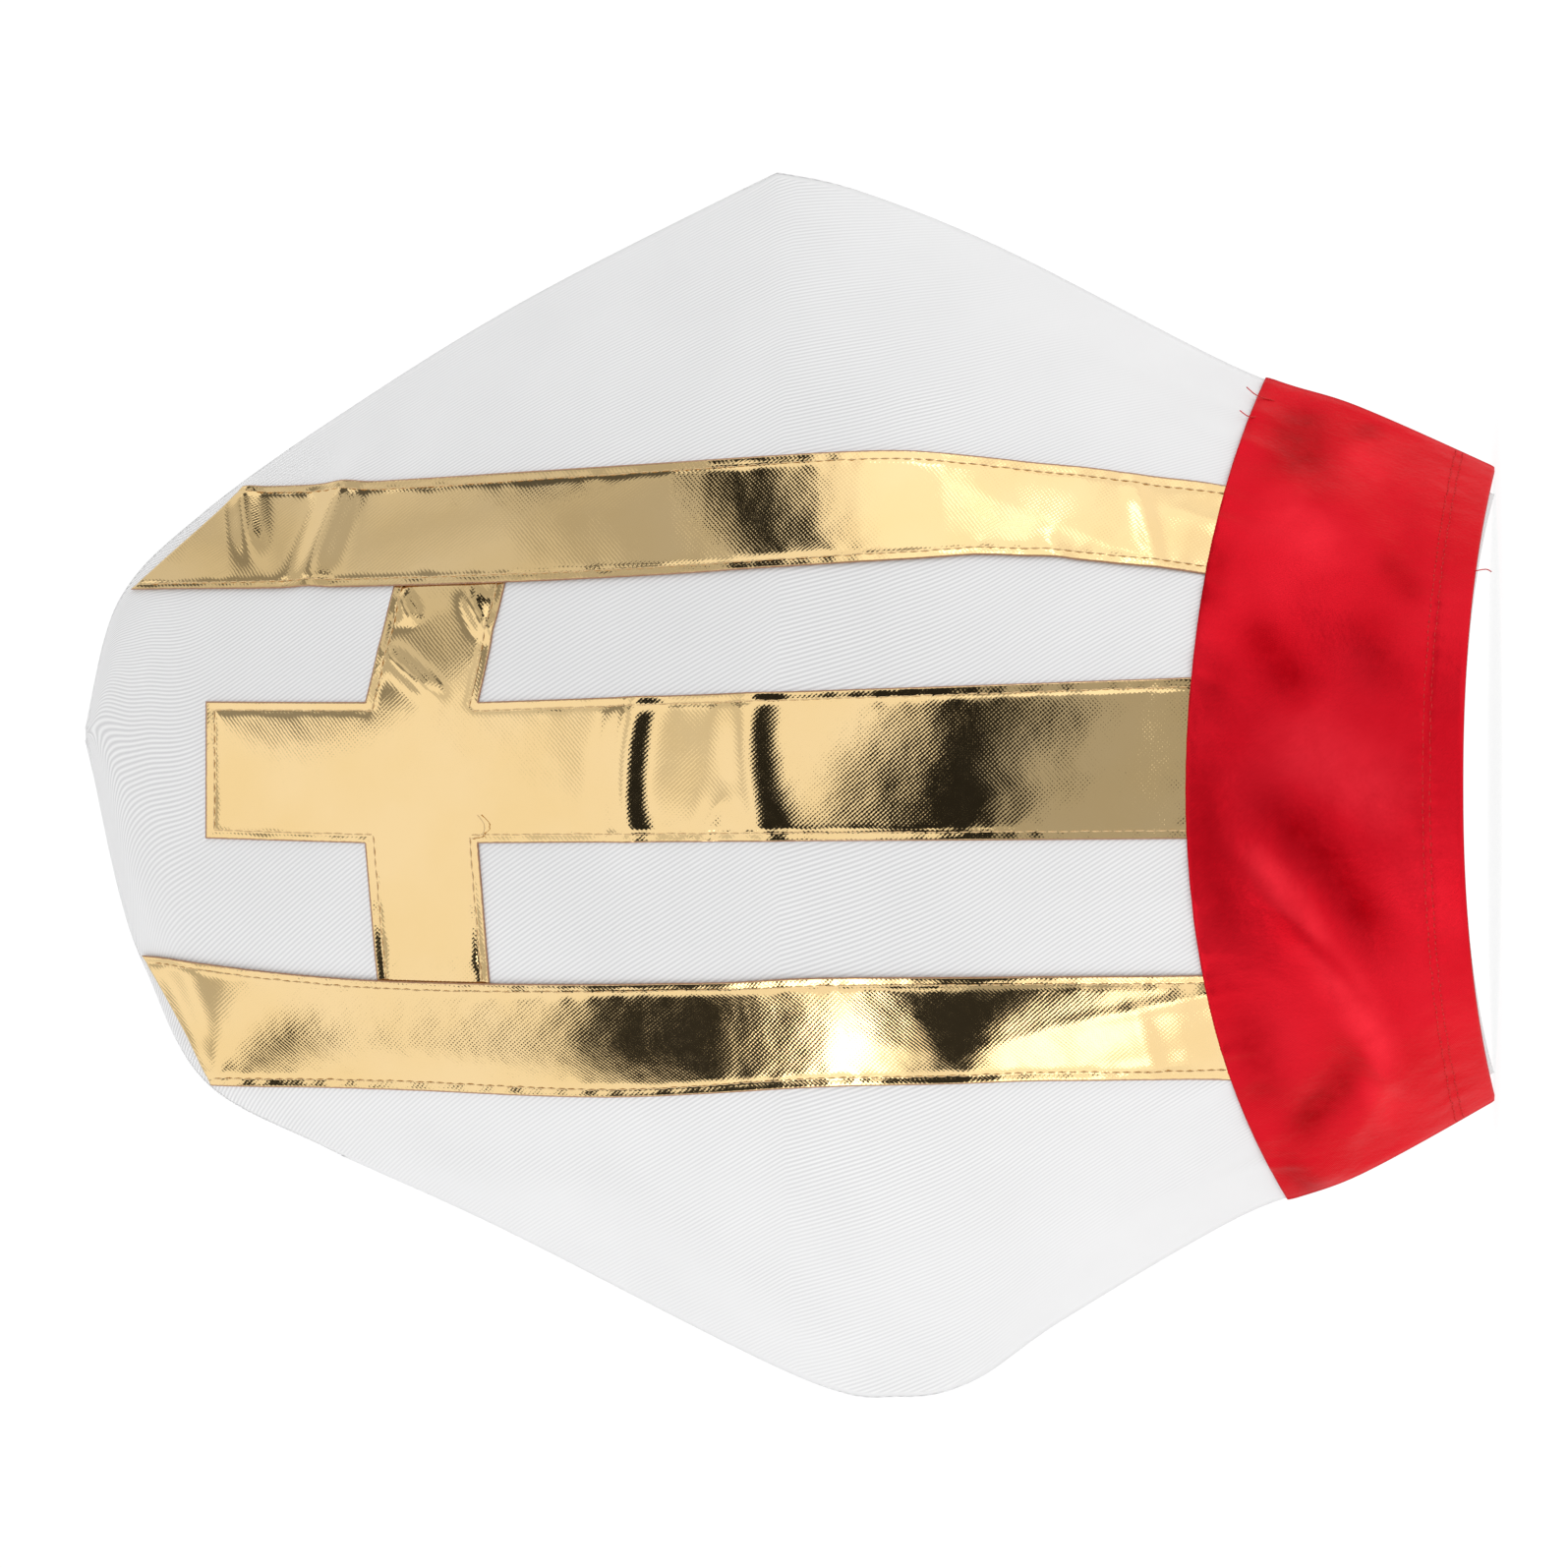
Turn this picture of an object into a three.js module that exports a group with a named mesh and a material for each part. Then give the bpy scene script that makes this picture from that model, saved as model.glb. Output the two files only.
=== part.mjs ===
// Bishop's mitre, a soft costume hat, standing on its rim. Millimetres, +Z up towards the tip, the
// front with the cross faces -Y and +X is on the right of someone who looks at that front. The
// origin is on the surface that the hat stands on, under the middle of its bounding box.
//
// The hat is two domed faces, front and back, sewn together along one edge that runs from a rim
// corner over both shoulders and the tip to the other corner. Each face is a stack of sheets: gold
// applique or red band, white shell, foam, lining. Every sheet lies at its own depth under the
// same domed surface, so skin(depth) is the one place where the hat's shape is worked out.
import * as THREE from "three";

// Size of the hat.
const height = 387;
const shoulderHeight = 197;
const rimHalfDepth = 93; // from the side seams' plane to the middle of the front rim
const neckHalfDepth = 84.5; // the band's top edge draws the hat in a little
const neckHeight = 65;
const bellyHalfDepth = 90;
const bellyHeight = 150;
const domePower = 2.2; // how the face falls off from its middle to the side seam
const crownPower = 1.8; // how it falls off from the belly to the tip
const frontHemRise = 10.5; // how far the middle of the rim is above its corners
const backHemRise = 9;
const hemFootShare = 0.84; // outside this share of the half width the rim is flat, at Z 0

// Thicknesses and gaps.
const seamGap = 0.15; // each face stops this far from the side seams' plane
const clothGap = 0.5; // between two sheets that lie on each other
const shellThickness = 0.5;
const foamThickness = 3;
const liningThickness = 0.5;
const goldThickness = 0.5;
const bandThickness = 1.2; // satin with its turned-in allowance
const threadThickness = 0.4;
const threadWidth = 0.6;

// Depth of each sheet's outer side under the shell's outer side.
const foamDepth = shellThickness + clothGap;
const liningDepth = foamDepth + foamThickness + clothGap;
const goldDepth = -clothGap - goldThickness;
const bandDepth = -clothGap - bandThickness;

// How far above the rim each sheet starts.
const shellLift = 1;
const foamLift = 2;
const liningLift = 0.5;

// Stitches and the band's curved top edge.
const stitchInset = 2.3; // from the applique's edge to its stitches
const hemRows = [9, 10.9]; // heights of the two rows of stitches above the rim
const bandTopMiddle = 86;
const bandTopRight = 63;
const bandTopLeft = 57;

// Grid of every face: rows from rim to shoulder, rows from shoulder to tip, and columns.
const lowerRows = 12;
const upperRows = 14;
const columns = 14;

// The seam edge seen from the front, as [X, Z] from the rim corner up to the tip.
const tip = [13.5, height];
const rightLowerEdge = [[86, 0], [103, 38], [114, 70], [147, 135], [163, 175], [168, shoulderHeight]];
const rightUpperEdge = [[168, shoulderHeight], [134, 264], [104, 313], [75, 354], [50, 378], tip];
const leftEdge = [
  [-86, 0], [-107, 38], [-119, 70], [-147, 118], [-164, 143], [-168.5, 163], [-163, 191],
  [-122, 273], [-100, 321], [-82, 354], [-52, 370], [-29, 378], tip,
];

const smooth = (points, divisions) =>
  new THREE.SplineCurve(points.map(([x, z]) => new THREE.Vector2(x, z))).getPoints(divisions);
const edgeLines = {
  right: [...smooth(rightLowerEdge, 40), ...smooth(rightUpperEdge, 60).slice(1)],
  left: smooth(leftEdge, 120),
};

// The dome meets the seams' plane at about 48 degrees, so a sheet at some depth under the surface
// has its own edge this much further in.
const edgeInsetPerDepth = 1.35;

// An edge line moved in by a distance, towards the middle of the hat.
function insetLine(line, side, inset) {
  const inwards = side === "right" ? 1 : -1;
  return line.map((point, i) => {
    const before = line[Math.max(i - 1, 0)];
    const after = line[Math.min(i + 1, line.length - 1)];
    const along = new THREE.Vector2().subVectors(after, before).normalize();
    return new THREE.Vector2(point.x - inwards * along.y * inset, point.y + inwards * along.x * inset);
  });
}

// X of a line at height z, taking the place nearest the middle where the line passes z twice. Under
// the line's first point it goes on straight down.
function lineAt(line, z) {
  const crossing = (a, b) => a.x + ((b.x - a.x) * (z - a.y)) / (b.y - a.y);
  if (z < line[0].y) return crossing(line[0], line[1]);
  let best = line[line.length - 1].x;
  let isFound = false;
  for (let i = 1; i < line.length; i++) {
    const [a, b] = [line[i - 1], line[i]];
    if ((a.y - z) * (b.y - z) > 0 || a.y === b.y) continue;
    const x = crossing(a, b);
    if (!isFound || Math.abs(x - tip[0]) < Math.abs(best - tip[0])) best = x;
    isFound = true;
  }
  return best;
}

// How far up and down the width is averaged, in how many samples, and how fast corners fade.
const calmReach = 45;
const calmSamples = 9;
const cornerFade = 6;

// Half depth in the middle of the face at height z, on the surface at a depth, whose tip is at top.
function middleDepth(z, depth, top) {
  if (z < neckHeight) {
    const spread = rimHalfDepth - neckHalfDepth;
    return neckHalfDepth - depth + spread * (1 - Math.max(z, 0) / neckHeight) ** 2;
  }
  if (z < bellyHeight) {
    const rise = (1 - Math.cos((Math.PI * (z - neckHeight)) / (bellyHeight - neckHeight))) / 2;
    return neckHalfDepth - depth + (bellyHalfDepth - neckHalfDepth) * rise;
  }
  const up = Math.min((z - bellyHeight) / (top - bellyHeight), 1);
  return (bellyHalfDepth - depth) * (1 - up ** crownPower);
}

// The domed surface that lies at a depth under the shell's outer side.
function skin(depth) {
  const inset = depth * edgeInsetPerDepth;
  const right = insetLine(edgeLines.right, "right", inset);
  const left = insetLine(edgeLines.left, "left", inset);
  const top = height - inset;
  const width = (z) => {
    const [low, high] = [lineAt(left, z), lineAt(right, z)];
    return { middle: (low + high) / 2, half: Math.max((high - low) / 2, 1) };
  };
  // The width averaged over a stretch of height, which has no corner at the shoulders.
  const calmWidth = (z) => {
    const reach = calmReach * THREE.MathUtils.clamp((top - z) / (top - shoulderHeight), 0, 1);
    let [middle, half] = [0, 0];
    for (let i = 0; i < calmSamples; i++) {
      const sample = width(z + reach * ((2 * i) / (calmSamples - 1) - 1));
      middle += sample.middle / calmSamples;
      half += sample.half / calmSamples;
    }
    return { middle, half };
  };
  // The point above a place in the XZ plane. The seam edge's corners fade out towards the middle.
  const atPlace = (x, z, facing) => {
    const [sharp, calm] = [width(z), calmWidth(z)];
    const sharpShare = Math.min(Math.abs(x - sharp.middle) / sharp.half, 1);
    const calmShare = Math.abs(x - calm.middle) / calm.half;
    const share = THREE.MathUtils.lerp(calmShare, sharpShare, sharpShare ** cornerFade);
    const dome = middleDepth(z, depth, top) * (1 - Math.min(share, 1) ** domePower);
    return new THREE.Vector3(x, facing * (seamGap + dome), z);
  };
  // The point at a share of the half width (-1 to 1) and a height.
  const atShare = (share, z, facing) => {
    const { middle, half } = width(z);
    return atPlace(middle + share * half, z, facing);
  };
  return { top, atPlace, atShare };
}

const FRONT = -1;
const BACK = 1;

// Height of the rim at a share of the half width.
function hemHeight(share, facing) {
  const rise = facing === FRONT ? frontHemRise : backHemRise;
  return rise * Math.max(0, 1 - (share / hemFootShare) ** 2) ** 1.5;
}

// Height of the band's top edge at a share of the half width.
function bandTop(share) {
  const end = share > 0 ? bandTopRight : bandTopLeft;
  return end + (bandTopMiddle - end) * (1 - share ** 2);
}

// A closed body from points and triangles, turned so that its faces point out.
function bodyOf(points, triangles) {
  let volume = 0;
  for (const [a, b, c] of triangles) {
    volume += points[a].dot(new THREE.Vector3().crossVectors(points[b], points[c]));
  }
  const facingOut = volume > 0 ? triangles : triangles.map(([a, b, c]) => [a, c, b]);
  const geometry = new THREE.BufferGeometry();
  geometry.setAttribute("position", new THREE.Float32BufferAttribute(points.flatMap((p) => p.toArray()), 3));
  geometry.setIndex(facingOut.flat());
  geometry.computeVertexNormals();
  return geometry;
}

// A sheet with two sides over the cells of a grid. Each side is a function of (column, row).
function sheet(columnCount, rowCount, outerSide, innerSide, hasCell = () => true) {
  const points = [];
  const triangles = [];
  const known = new Map();
  const pointAt = (side, column, row) => {
    const key = `${side === outerSide} ${column} ${row}`;
    if (!known.has(key)) {
      known.set(key, points.length);
      points.push(side(column, row));
    }
    return known.get(key);
  };
  const quad = (a, b, c, d) => triangles.push([a, b, c], [a, c, d]);
  const filled = (column, row) =>
    column >= 0 && row >= 0 && column < columnCount && row < rowCount && hasCell(column, row);
  for (let column = 0; column < columnCount; column++) {
    for (let row = 0; row < rowCount; row++) {
      if (!filled(column, row)) continue;
      const corners = [[column, row], [column + 1, row], [column + 1, row + 1], [column, row + 1]];
      const outer = corners.map(([i, j]) => pointAt(outerSide, i, j));
      const inner = corners.map(([i, j]) => pointAt(innerSide, i, j));
      const [a, b, c, d] = inner;
      quad(...outer);
      triangles.push([a, c, b], [a, d, c]);
      const neighbours = [[column, row - 1], [column + 1, row], [column, row + 1], [column - 1, row]];
      neighbours.forEach(([i, j], side) => {
        if (filled(i, j)) return;
        const next = (side + 1) % 4;
        quad(outer[next], outer[side], inner[side], inner[next]);
      });
    }
  }
  return bodyOf(points, triangles);
}

// Height of a row of the whole face's grid, from 0 at the rim to top.
function rowHeight(row, top) {
  if (row <= lowerRows) return (shoulderHeight * row) / lowerRows;
  const turn = ((row - lowerRows) / upperRows) * (Math.PI / 2);
  const tipFlat = 0.4; // the last row stays this far under the very top, where the edge is level
  return shoulderHeight + (top - tipFlat - shoulderHeight) * Math.sin(turn);
}

// A sheet over a whole face, from a little above the rim to the tip.
function faceSheet(facing, depth, thickness, lift) {
  const side = (surface) => (column, row) => {
    const share = (2 * column) / columns - 1;
    const z = rowHeight(row, surface.top);
    const hemFade = Math.max(0, 1 - z / bandTopMiddle) ** 2;
    return surface.atShare(share, z + (lift + hemHeight(share, facing)) * hemFade, facing);
  };
  return sheet(columns, lowerRows + upperRows, side(skin(depth)), side(skin(depth + thickness)));
}

// The red band over one face, from the rim to its curved top edge.
function band(facing) {
  const rows = 5;
  const side = (surface) => (column, row) => {
    const share = (2 * column) / columns - 1;
    const low = hemHeight(share, facing);
    return surface.atShare(share, low + ((bandTop(share) - low) * row) / rows, facing);
  };
  return sheet(columns, rows, side(skin(bandDepth)), side(skin(bandDepth + bandThickness)));
}

// Edges of the two gold stripes. They start at the band's top edge and end at the seam edge.
const stripes = {
  right: {
    outer: [[81, 77.2], [88.5, 140], [90, 181], [84, 275], [81, 343]],
    inner: [[56.5, 82.6], [61.8, 132], [60.5, 167], [54.5, 270], [53, 374]],
  },
  left: {
    outer: [[-80, 75.6], [-81.5, 167], [-85, 238], [-83.5, 302], [-82.5, 352]],
    inner: [[-52, 82.6], [-52.5, 178], [-54, 221], [-53.5, 308], [-47, 371]],
  },
};
const stripeRows = 24;
const stripeColumns = 4;

// The place on a stripe at a share across it (0 outer edge, 1 inner edge) and along it.
function stripePlace(name, across, along) {
  const { outer, inner } = stripes[name];
  const pointOn = (edge) =>
    new THREE.SplineCurve(edge.map(([x, z]) => new THREE.Vector2(x, z))).getPoint(along);
  return pointOn(outer).lerp(pointOn(inner), across);
}

function stripe(name) {
  const side = (surface) => (column, row) => {
    const place = stripePlace(name, column / stripeColumns, row / stripeRows);
    return surface.atPlace(place.x, place.y, FRONT);
  };
  return sheet(stripeColumns, stripeRows, side(skin(goldDepth)), side(skin(goldDepth + goldThickness)));
}

// The cross, as a grid of blocks: three across (arm, upright, arm) and three up (shaft, arms, top).
// Its long shaft leans and widens a little, and its arms droop towards their ends.
const cross = {
  uprightX: { bottom: [-15, 28.7], middle: [-16.2, 22.2], top: [-15, 22.5] },
  shaftBottom: 86.6,
  armLow: { left: 275.5, middle: 278.3, right: 270.5 },
  armHigh: { left: 305.5, middle: 309.2, right: 301 },
  topZ: 353.4,
  armEnds: [-51.8, 52.6],
};
const crossBlockRows = [12, 3, 4];
const crossBlockColumns = [3, 3, 3];

// Block number and share inside it for a grid line.
function blockOf(line, sizes) {
  let first = 0;
  for (let block = 0; block < sizes.length; block++) {
    if (line <= first + sizes[block]) return { block, share: (line - first) / sizes[block] };
    first += sizes[block];
  }
  return { block: sizes.length - 1, share: 1 };
}

// The place on the cross for a grid line each way, for a cross whose edges are moved in by inset.
function crossPlace(column, row, inset = 0) {
  const across = blockOf(column, crossBlockColumns);
  const up = blockOf(row, crossBlockRows);
  const mix = THREE.MathUtils.lerp;
  const { bottom, middle, top } = cross.uprightX;
  const spans = [[bottom, middle], [middle, middle], [middle, top]][up.block];
  const leftX = mix(spans[0][0], spans[1][0], up.share) + inset;
  const rightX = mix(spans[0][1], spans[1][1], up.share) - inset;
  const [leftEnd, rightEnd] = cross.armEnds;
  const x = [
    mix(leftEnd, leftX, across.share),
    mix(leftX, rightX, across.share),
    mix(rightX, rightEnd, across.share),
  ][across.block];
  const armZ = (heights, shift) =>
    shift + [
      mix(heights.left, heights.middle, across.share),
      heights.middle,
      mix(heights.middle, heights.right, across.share),
    ][across.block];
  const low = armZ(cross.armLow, inset);
  const high = armZ(cross.armHigh, -inset);
  const z = [
    mix(cross.shaftBottom, low, up.share),
    mix(low, high, up.share),
    mix(high, cross.topZ - inset, up.share),
  ][up.block];
  return new THREE.Vector2(x, z);
}

function crossSheet() {
  const inShaft = (column) => blockOf(column + 0.5, crossBlockColumns).block === 1;
  const inArms = (row) => blockOf(row + 0.5, crossBlockRows).block === 1;
  const side = (surface) => (column, row) => {
    const place = crossPlace(column, row);
    return surface.atPlace(place.x, place.y, FRONT);
  };
  const total = (sizes) => sizes.reduce((sum, size) => sum + size, 0);
  return sheet(
    total(crossBlockColumns), total(crossBlockRows),
    side(skin(goldDepth)), side(skin(goldDepth + goldThickness)),
    (column, row) => inShaft(column) || inArms(row),
  );
}

// A flat strand through stations of four corner points each, as a closed loop or with two ends.
function strand(stations, isLoop) {
  const points = stations.flat();
  const triangles = [];
  const quad = (a, b, c, d) => triangles.push([a, b, c], [a, c, d]);
  const last = isLoop ? stations.length : stations.length - 1;
  for (let i = 0; i < last; i++) {
    const here = 4 * i;
    const there = 4 * ((i + 1) % stations.length);
    for (let corner = 0; corner < 4; corner++) {
      const next = (corner + 1) % 4;
      quad(here + corner, here + next, there + next, there + corner);
    }
  }
  if (!isLoop) {
    const end = 4 * (stations.length - 1);
    quad(3, 2, 1, 0);
    quad(end, end + 1, end + 2, end + 3);
  }
  return bodyOf(points, triangles);
}

// Depths of a strand's two sides when it lies on cloth whose outer side is at some depth.
function threadSkins(clothDepth) {
  const outer = clothDepth - clothGap - threadThickness;
  return [skin(outer), skin(outer + threadThickness)];
}

// A strand on the front, through places in the XZ plane.
function strandOnFront(places, isLoop) {
  const [outer, inner] = threadSkins(goldDepth);
  const count = places.length;
  const stations = places.map((place, i) => {
    const before = isLoop ? places[(i + count - 1) % count] : places[Math.max(i - 1, 0)];
    const after = isLoop ? places[(i + 1) % count] : places[Math.min(i + 1, count - 1)];
    const incoming = place.clone().sub(before).normalize();
    const outgoing = after.clone().sub(place).normalize();
    const along = incoming.add(outgoing).normalize();
    const across = new THREE.Vector2(-along.y, along.x).multiplyScalar(threadWidth / 2);
    const [one, other] = [place.clone().add(across), place.clone().sub(across)];
    return [
      outer.atPlace(one.x, one.y, FRONT), outer.atPlace(other.x, other.y, FRONT),
      inner.atPlace(other.x, other.y, FRONT), inner.atPlace(one.x, one.y, FRONT),
    ];
  });
  return strand(stations, isLoop);
}

// Down one edge of a stripe, across its foot and up the other edge.
function stripeStitches(name) {
  const middle = [stripePlace(name, 0, 0.5), stripePlace(name, 1, 0.5)];
  const length = stripePlace(name, 0.5, 0).distanceTo(stripePlace(name, 0.5, 1));
  const inset = stitchInset / middle[0].distanceTo(middle[1]);
  const foot = stitchInset / length;
  const head = 1 - foot;
  const mix = THREE.MathUtils.lerp;
  const places = [];
  for (let i = 0; i <= stripeRows; i++) {
    places.push(stripePlace(name, inset, mix(head, foot, i / stripeRows)));
  }
  for (let i = 1; i < stripeColumns; i++) {
    places.push(stripePlace(name, mix(inset, 1 - inset, i / stripeColumns), foot));
  }
  for (let i = 0; i <= stripeRows; i++) {
    places.push(stripePlace(name, 1 - inset, mix(foot, head, i / stripeRows)));
  }
  return strandOnFront(places, false);
}

// Once round the cross, inside its edge.
function crossStitches() {
  const [armColumns, uprightColumns] = crossBlockColumns;
  const [shaftRows, armRows, topRows] = crossBlockRows;
  const right = armColumns + uprightColumns;
  const farRight = right + armColumns;
  const armTop = shaftRows + armRows;
  const crossTop = armTop + topRows;
  const corners = [
    [armColumns, 0], [right, 0], [right, shaftRows], [farRight, shaftRows], [farRight, armTop],
    [right, armTop], [right, crossTop], [armColumns, crossTop], [armColumns, armTop], [0, armTop],
    [0, shaftRows], [armColumns, shaftRows],
  ];
  const places = [];
  corners.forEach(([column, row], i) => {
    const [toColumn, toRow] = corners[(i + 1) % corners.length];
    const steps = Math.max(Math.abs(toColumn - column), Math.abs(toRow - row));
    for (let step = 0; step < steps; step++) {
      const share = step / steps;
      const along = [column + (toColumn - column) * share, row + (toRow - row) * share];
      places.push(crossPlace(...along, stitchInset));
    }
  });
  const [leftEnd, rightEnd] = cross.armEnds;
  const lowest = cross.shaftBottom + stitchInset;
  places.forEach((place) => {
    place.x = THREE.MathUtils.clamp(place.x, leftEnd + stitchInset, rightEnd - stitchInset);
    place.y = Math.max(place.y, lowest);
  });
  return strandOnFront(places, true);
}

// A row of stitches round the whole rim, through both bands.
function hemStitches(rowAbove) {
  const [outer, inner] = threadSkins(bandDepth);
  const stations = [];
  for (const facing of [FRONT, BACK]) {
    for (let column = 0; column <= columns; column++) {
      const share = facing * (1 - (2 * column) / columns);
      const z = rowAbove + hemHeight(share, facing);
      const [low, high] = [z - threadWidth / 2, z + threadWidth / 2];
      stations.push([
        outer.atShare(share, low, facing), outer.atShare(share, high, facing),
        inner.atShare(share, high, facing), inner.atShare(share, low, facing),
      ]);
    }
  }
  return strand(stations, true);
}

const cloth = (color, roughness, metalness = 0) =>
  new THREE.MeshStandardMaterial({ color, roughness, metalness });
const whiteTwill = cloth(0xe9e9ec, 0.75);
const foamWhite = cloth(0xf4f2ec, 0.95);
const liningWhite = cloth(0xf6f6f6, 0.8);
const goldFoil = cloth(0xd9b36a, 0.28, 1);
const redSatin = cloth(0xc8101c, 0.35);
const tanThread = cloth(0xa9793c, 0.6);
const redThread = cloth(0xa00c16, 0.5);

const hat = new THREE.Group();
function add(name, geometry, material) {
  const mesh = new THREE.Mesh(geometry, material);
  mesh.name = name;
  hat.add(mesh);
}

for (const [word, facing] of [["front", FRONT], ["back", BACK]]) {
  add(`${word}_shell`, faceSheet(facing, 0, shellThickness, shellLift), whiteTwill);
  add(`${word}_foam`, faceSheet(facing, foamDepth, foamThickness, foamLift), foamWhite);
  add(`${word}_lining`, faceSheet(facing, liningDepth, liningThickness, liningLift), liningWhite);
  add(`${word}_band`, band(facing), redSatin);
}
for (const name of ["left", "right"]) {
  add(`${name}_stripe`, stripe(name), goldFoil);
  add(`${name}_stripe_stitches`, stripeStitches(name), tanThread);
}
add("cross_applique", crossSheet(), goldFoil);
add("cross_stitches", crossStitches(), tanThread);
hemRows.forEach((rowAbove, i) => add(`hem_stitches_${i + 1}`, hemStitches(rowAbove), redThread));

export default hat;
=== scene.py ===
"""Bishop's mitre costume hat: the looks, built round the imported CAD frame.

The shapes are worked out in millimetres and turned into metres by add_mesh().
+Z runs from the rim to the tip, the front with the cross faces -Y, and +X is on the viewer's right.
Every cloth layer lies on one domed surface, the same as the CAD's, given by dome_depth(x, z). Folds,
puckers and the dips along stitches are a relief added along that surface's normal.
"""

import math

import bpy
import numpy as np
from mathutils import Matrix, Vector


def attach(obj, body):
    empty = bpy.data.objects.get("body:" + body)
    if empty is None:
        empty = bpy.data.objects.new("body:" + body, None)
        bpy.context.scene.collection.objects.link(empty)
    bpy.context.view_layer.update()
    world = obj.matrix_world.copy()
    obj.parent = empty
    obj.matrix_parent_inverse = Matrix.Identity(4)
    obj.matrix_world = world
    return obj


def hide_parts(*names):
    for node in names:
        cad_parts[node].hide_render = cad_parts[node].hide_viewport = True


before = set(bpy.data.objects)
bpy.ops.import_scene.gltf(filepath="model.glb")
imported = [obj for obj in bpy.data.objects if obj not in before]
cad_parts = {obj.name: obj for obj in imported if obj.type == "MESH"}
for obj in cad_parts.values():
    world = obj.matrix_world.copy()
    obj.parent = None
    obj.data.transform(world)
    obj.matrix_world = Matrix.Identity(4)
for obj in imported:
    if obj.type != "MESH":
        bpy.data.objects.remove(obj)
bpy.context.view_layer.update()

MM = 0.001
FRONT, BACK = -1, 1

# ---- Driving sizes, in millimetres, as in the CAD ----
HEIGHT = 387.0
SHOULDER_HEIGHT = 197.0
RIM_HALF_DEPTH = 93.0
NECK_HALF_DEPTH = 84.5
NECK_HEIGHT = 65.0
BELLY_HALF_DEPTH = 90.0
BELLY_HEIGHT = 150.0
DOME_POWER = 2.2
CROWN_POWER = 1.8
FRONT_HEM_RISE = 10.5
HEM_POWER = 2.2
BAND_TOP_MIDDLE, BAND_TOP_RIGHT, BAND_TOP_LEFT = 86.0, 63.0, 57.0
CALM_REACH = 45.0
CALM_SAMPLES = 9
CORNER_FADE = 6
# Where the back rim hangs under the front rim, as (share of the half width, reach, drop).
BACK_HEM_SAGS = [(-0.5, 0.25, 2.4), (0.45, 0.2, 1.4)]

TIP = (13.5, HEIGHT)
RIGHT_LOWER_EDGE = [(86, 0), (103, 38), (114, 70), (147, 135), (163, 175), (168, SHOULDER_HEIGHT)]
RIGHT_UPPER_EDGE = [(168, SHOULDER_HEIGHT), (134, 264), (104, 313), (75, 354), (50, 378), TIP]
LEFT_EDGE = [
    (-86, 0), (-107, 38), (-119, 70), (-147, 118), (-164, 143), (-168.5, 163), (-163, 191),
    (-122, 273), (-100, 321), (-82, 354), (-52, 370), (-29, 378), TIP,
]

# ---- Cloth and thread sizes, in millimetres ----
SHELL_THICK = 0.45
GOLD_THICK = 0.3
BAND_THICK = 0.4
LINING_THICK = 0.25
FOAM_THICK = 2.4
FOAM_GAP = 0.3
EDGE_INSET_PER_DEPTH = 1.35
GOLD_LIFT = 0.45
STRIPE_OVER_ARMS = 0.4
ARM_TUCK = 0.15
BAND_LIFT = 1.2
BAND_EDGE_LIFT = 0.75
TOP_ROLL_REACH = 2.2
RIM_ROLL, RIM_ROLL_REACH = 0.5, 1.2
BAND_GAP = 0.1
SHELL_START, FOAM_START, LINING_START = 3.0, 14.0, 0.25
TIP_FLAT = 0.25
TIP_EVENNESS = 0.45
LINING_RIM_DEPTH = 0.6
STITCH_INSET = 2.3
GOLD_STITCH_PITCH, GOLD_STITCH_GAP, GOLD_STITCH_WANDER = 3.0, 0.08, 0.1
HEM_STITCH_PITCH, HEM_STITCH_GAP, HEM_STITCH_WANDER = 2.0, 0.3, 0.2
THREAD_RADIUS = 0.19
HEM_THREAD_RADIUS = THREAD_RADIUS * 0.9
STRAND_SIDES = 6
STRAND_SIDE_WIDTH = 0.2
THREAD_LIFT = 0.05
HEM_ROWS = (9.0, 10.9)
HEM_ROWS_MIDDLE = sum(HEM_ROWS) / len(HEM_ROWS)
# Distances from an edge of the foil at which its grid has lines. They are close at the stitches.
EDGE_LINES = [0, 0.5, 1.1, 1.7, STITCH_INSET, 2.9, 3.6, 4.6, 5.8]
WHITE_PITCH, GOLD_PITCH, SATIN_PITCH, LINING_PITCH, TWIST_PITCH = 1.15, 0.64, 0.63, 0.35, 0.3

# ---- Colours ----
# The white cloth's rib colour and the painted shade of its grooves.
WHITE_GROOVE_PAINTED_SHADE, WHITE_RIB = (0.74, 0.74, 0.745, 1), (0.985, 0.985, 0.985, 1)
GOLD_DEEP, GOLD_PALE, GOLD_RAW_EDGE = (0.91, 0.66, 0.32, 1), (0.93, 0.69, 0.36, 1), (0.4, 0.2, 0.11, 1)
SATIN_DEEP, SATIN_PALE = (0.66, 0.006, 0.016, 1), (0.76, 0.013, 0.027, 1)
# Colours of the satin's painted shade and painted highlight.
SATIN_PAINTED_SHADE, SATIN_PAINTED_HIGHLIGHT = (0.40, 0.001, 0.005, 1), (0.98, 0.03, 0.05, 1)
SATIN_GLINT = (1.0, 0.06, 0.08, 1)
FOAM_DEEP, FOAM_PALE = (0.86, 0.85, 0.8, 1), (0.93, 0.92, 0.88, 1)
TAN_DEEP, TAN_PALE = (0.72, 0.48, 0.22, 1), (0.92, 0.68, 0.38, 1)
RED_DEEP, RED_PALE = (0.5, 0.004, 0.012, 1), (0.9, 0.06, 0.05, 1)
FLOOR_GREY = (0.2, 0.2, 0.2, 1)
PURE_WHITE = (1, 1, 1, 1)


# ---- The domed surface ----

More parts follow.
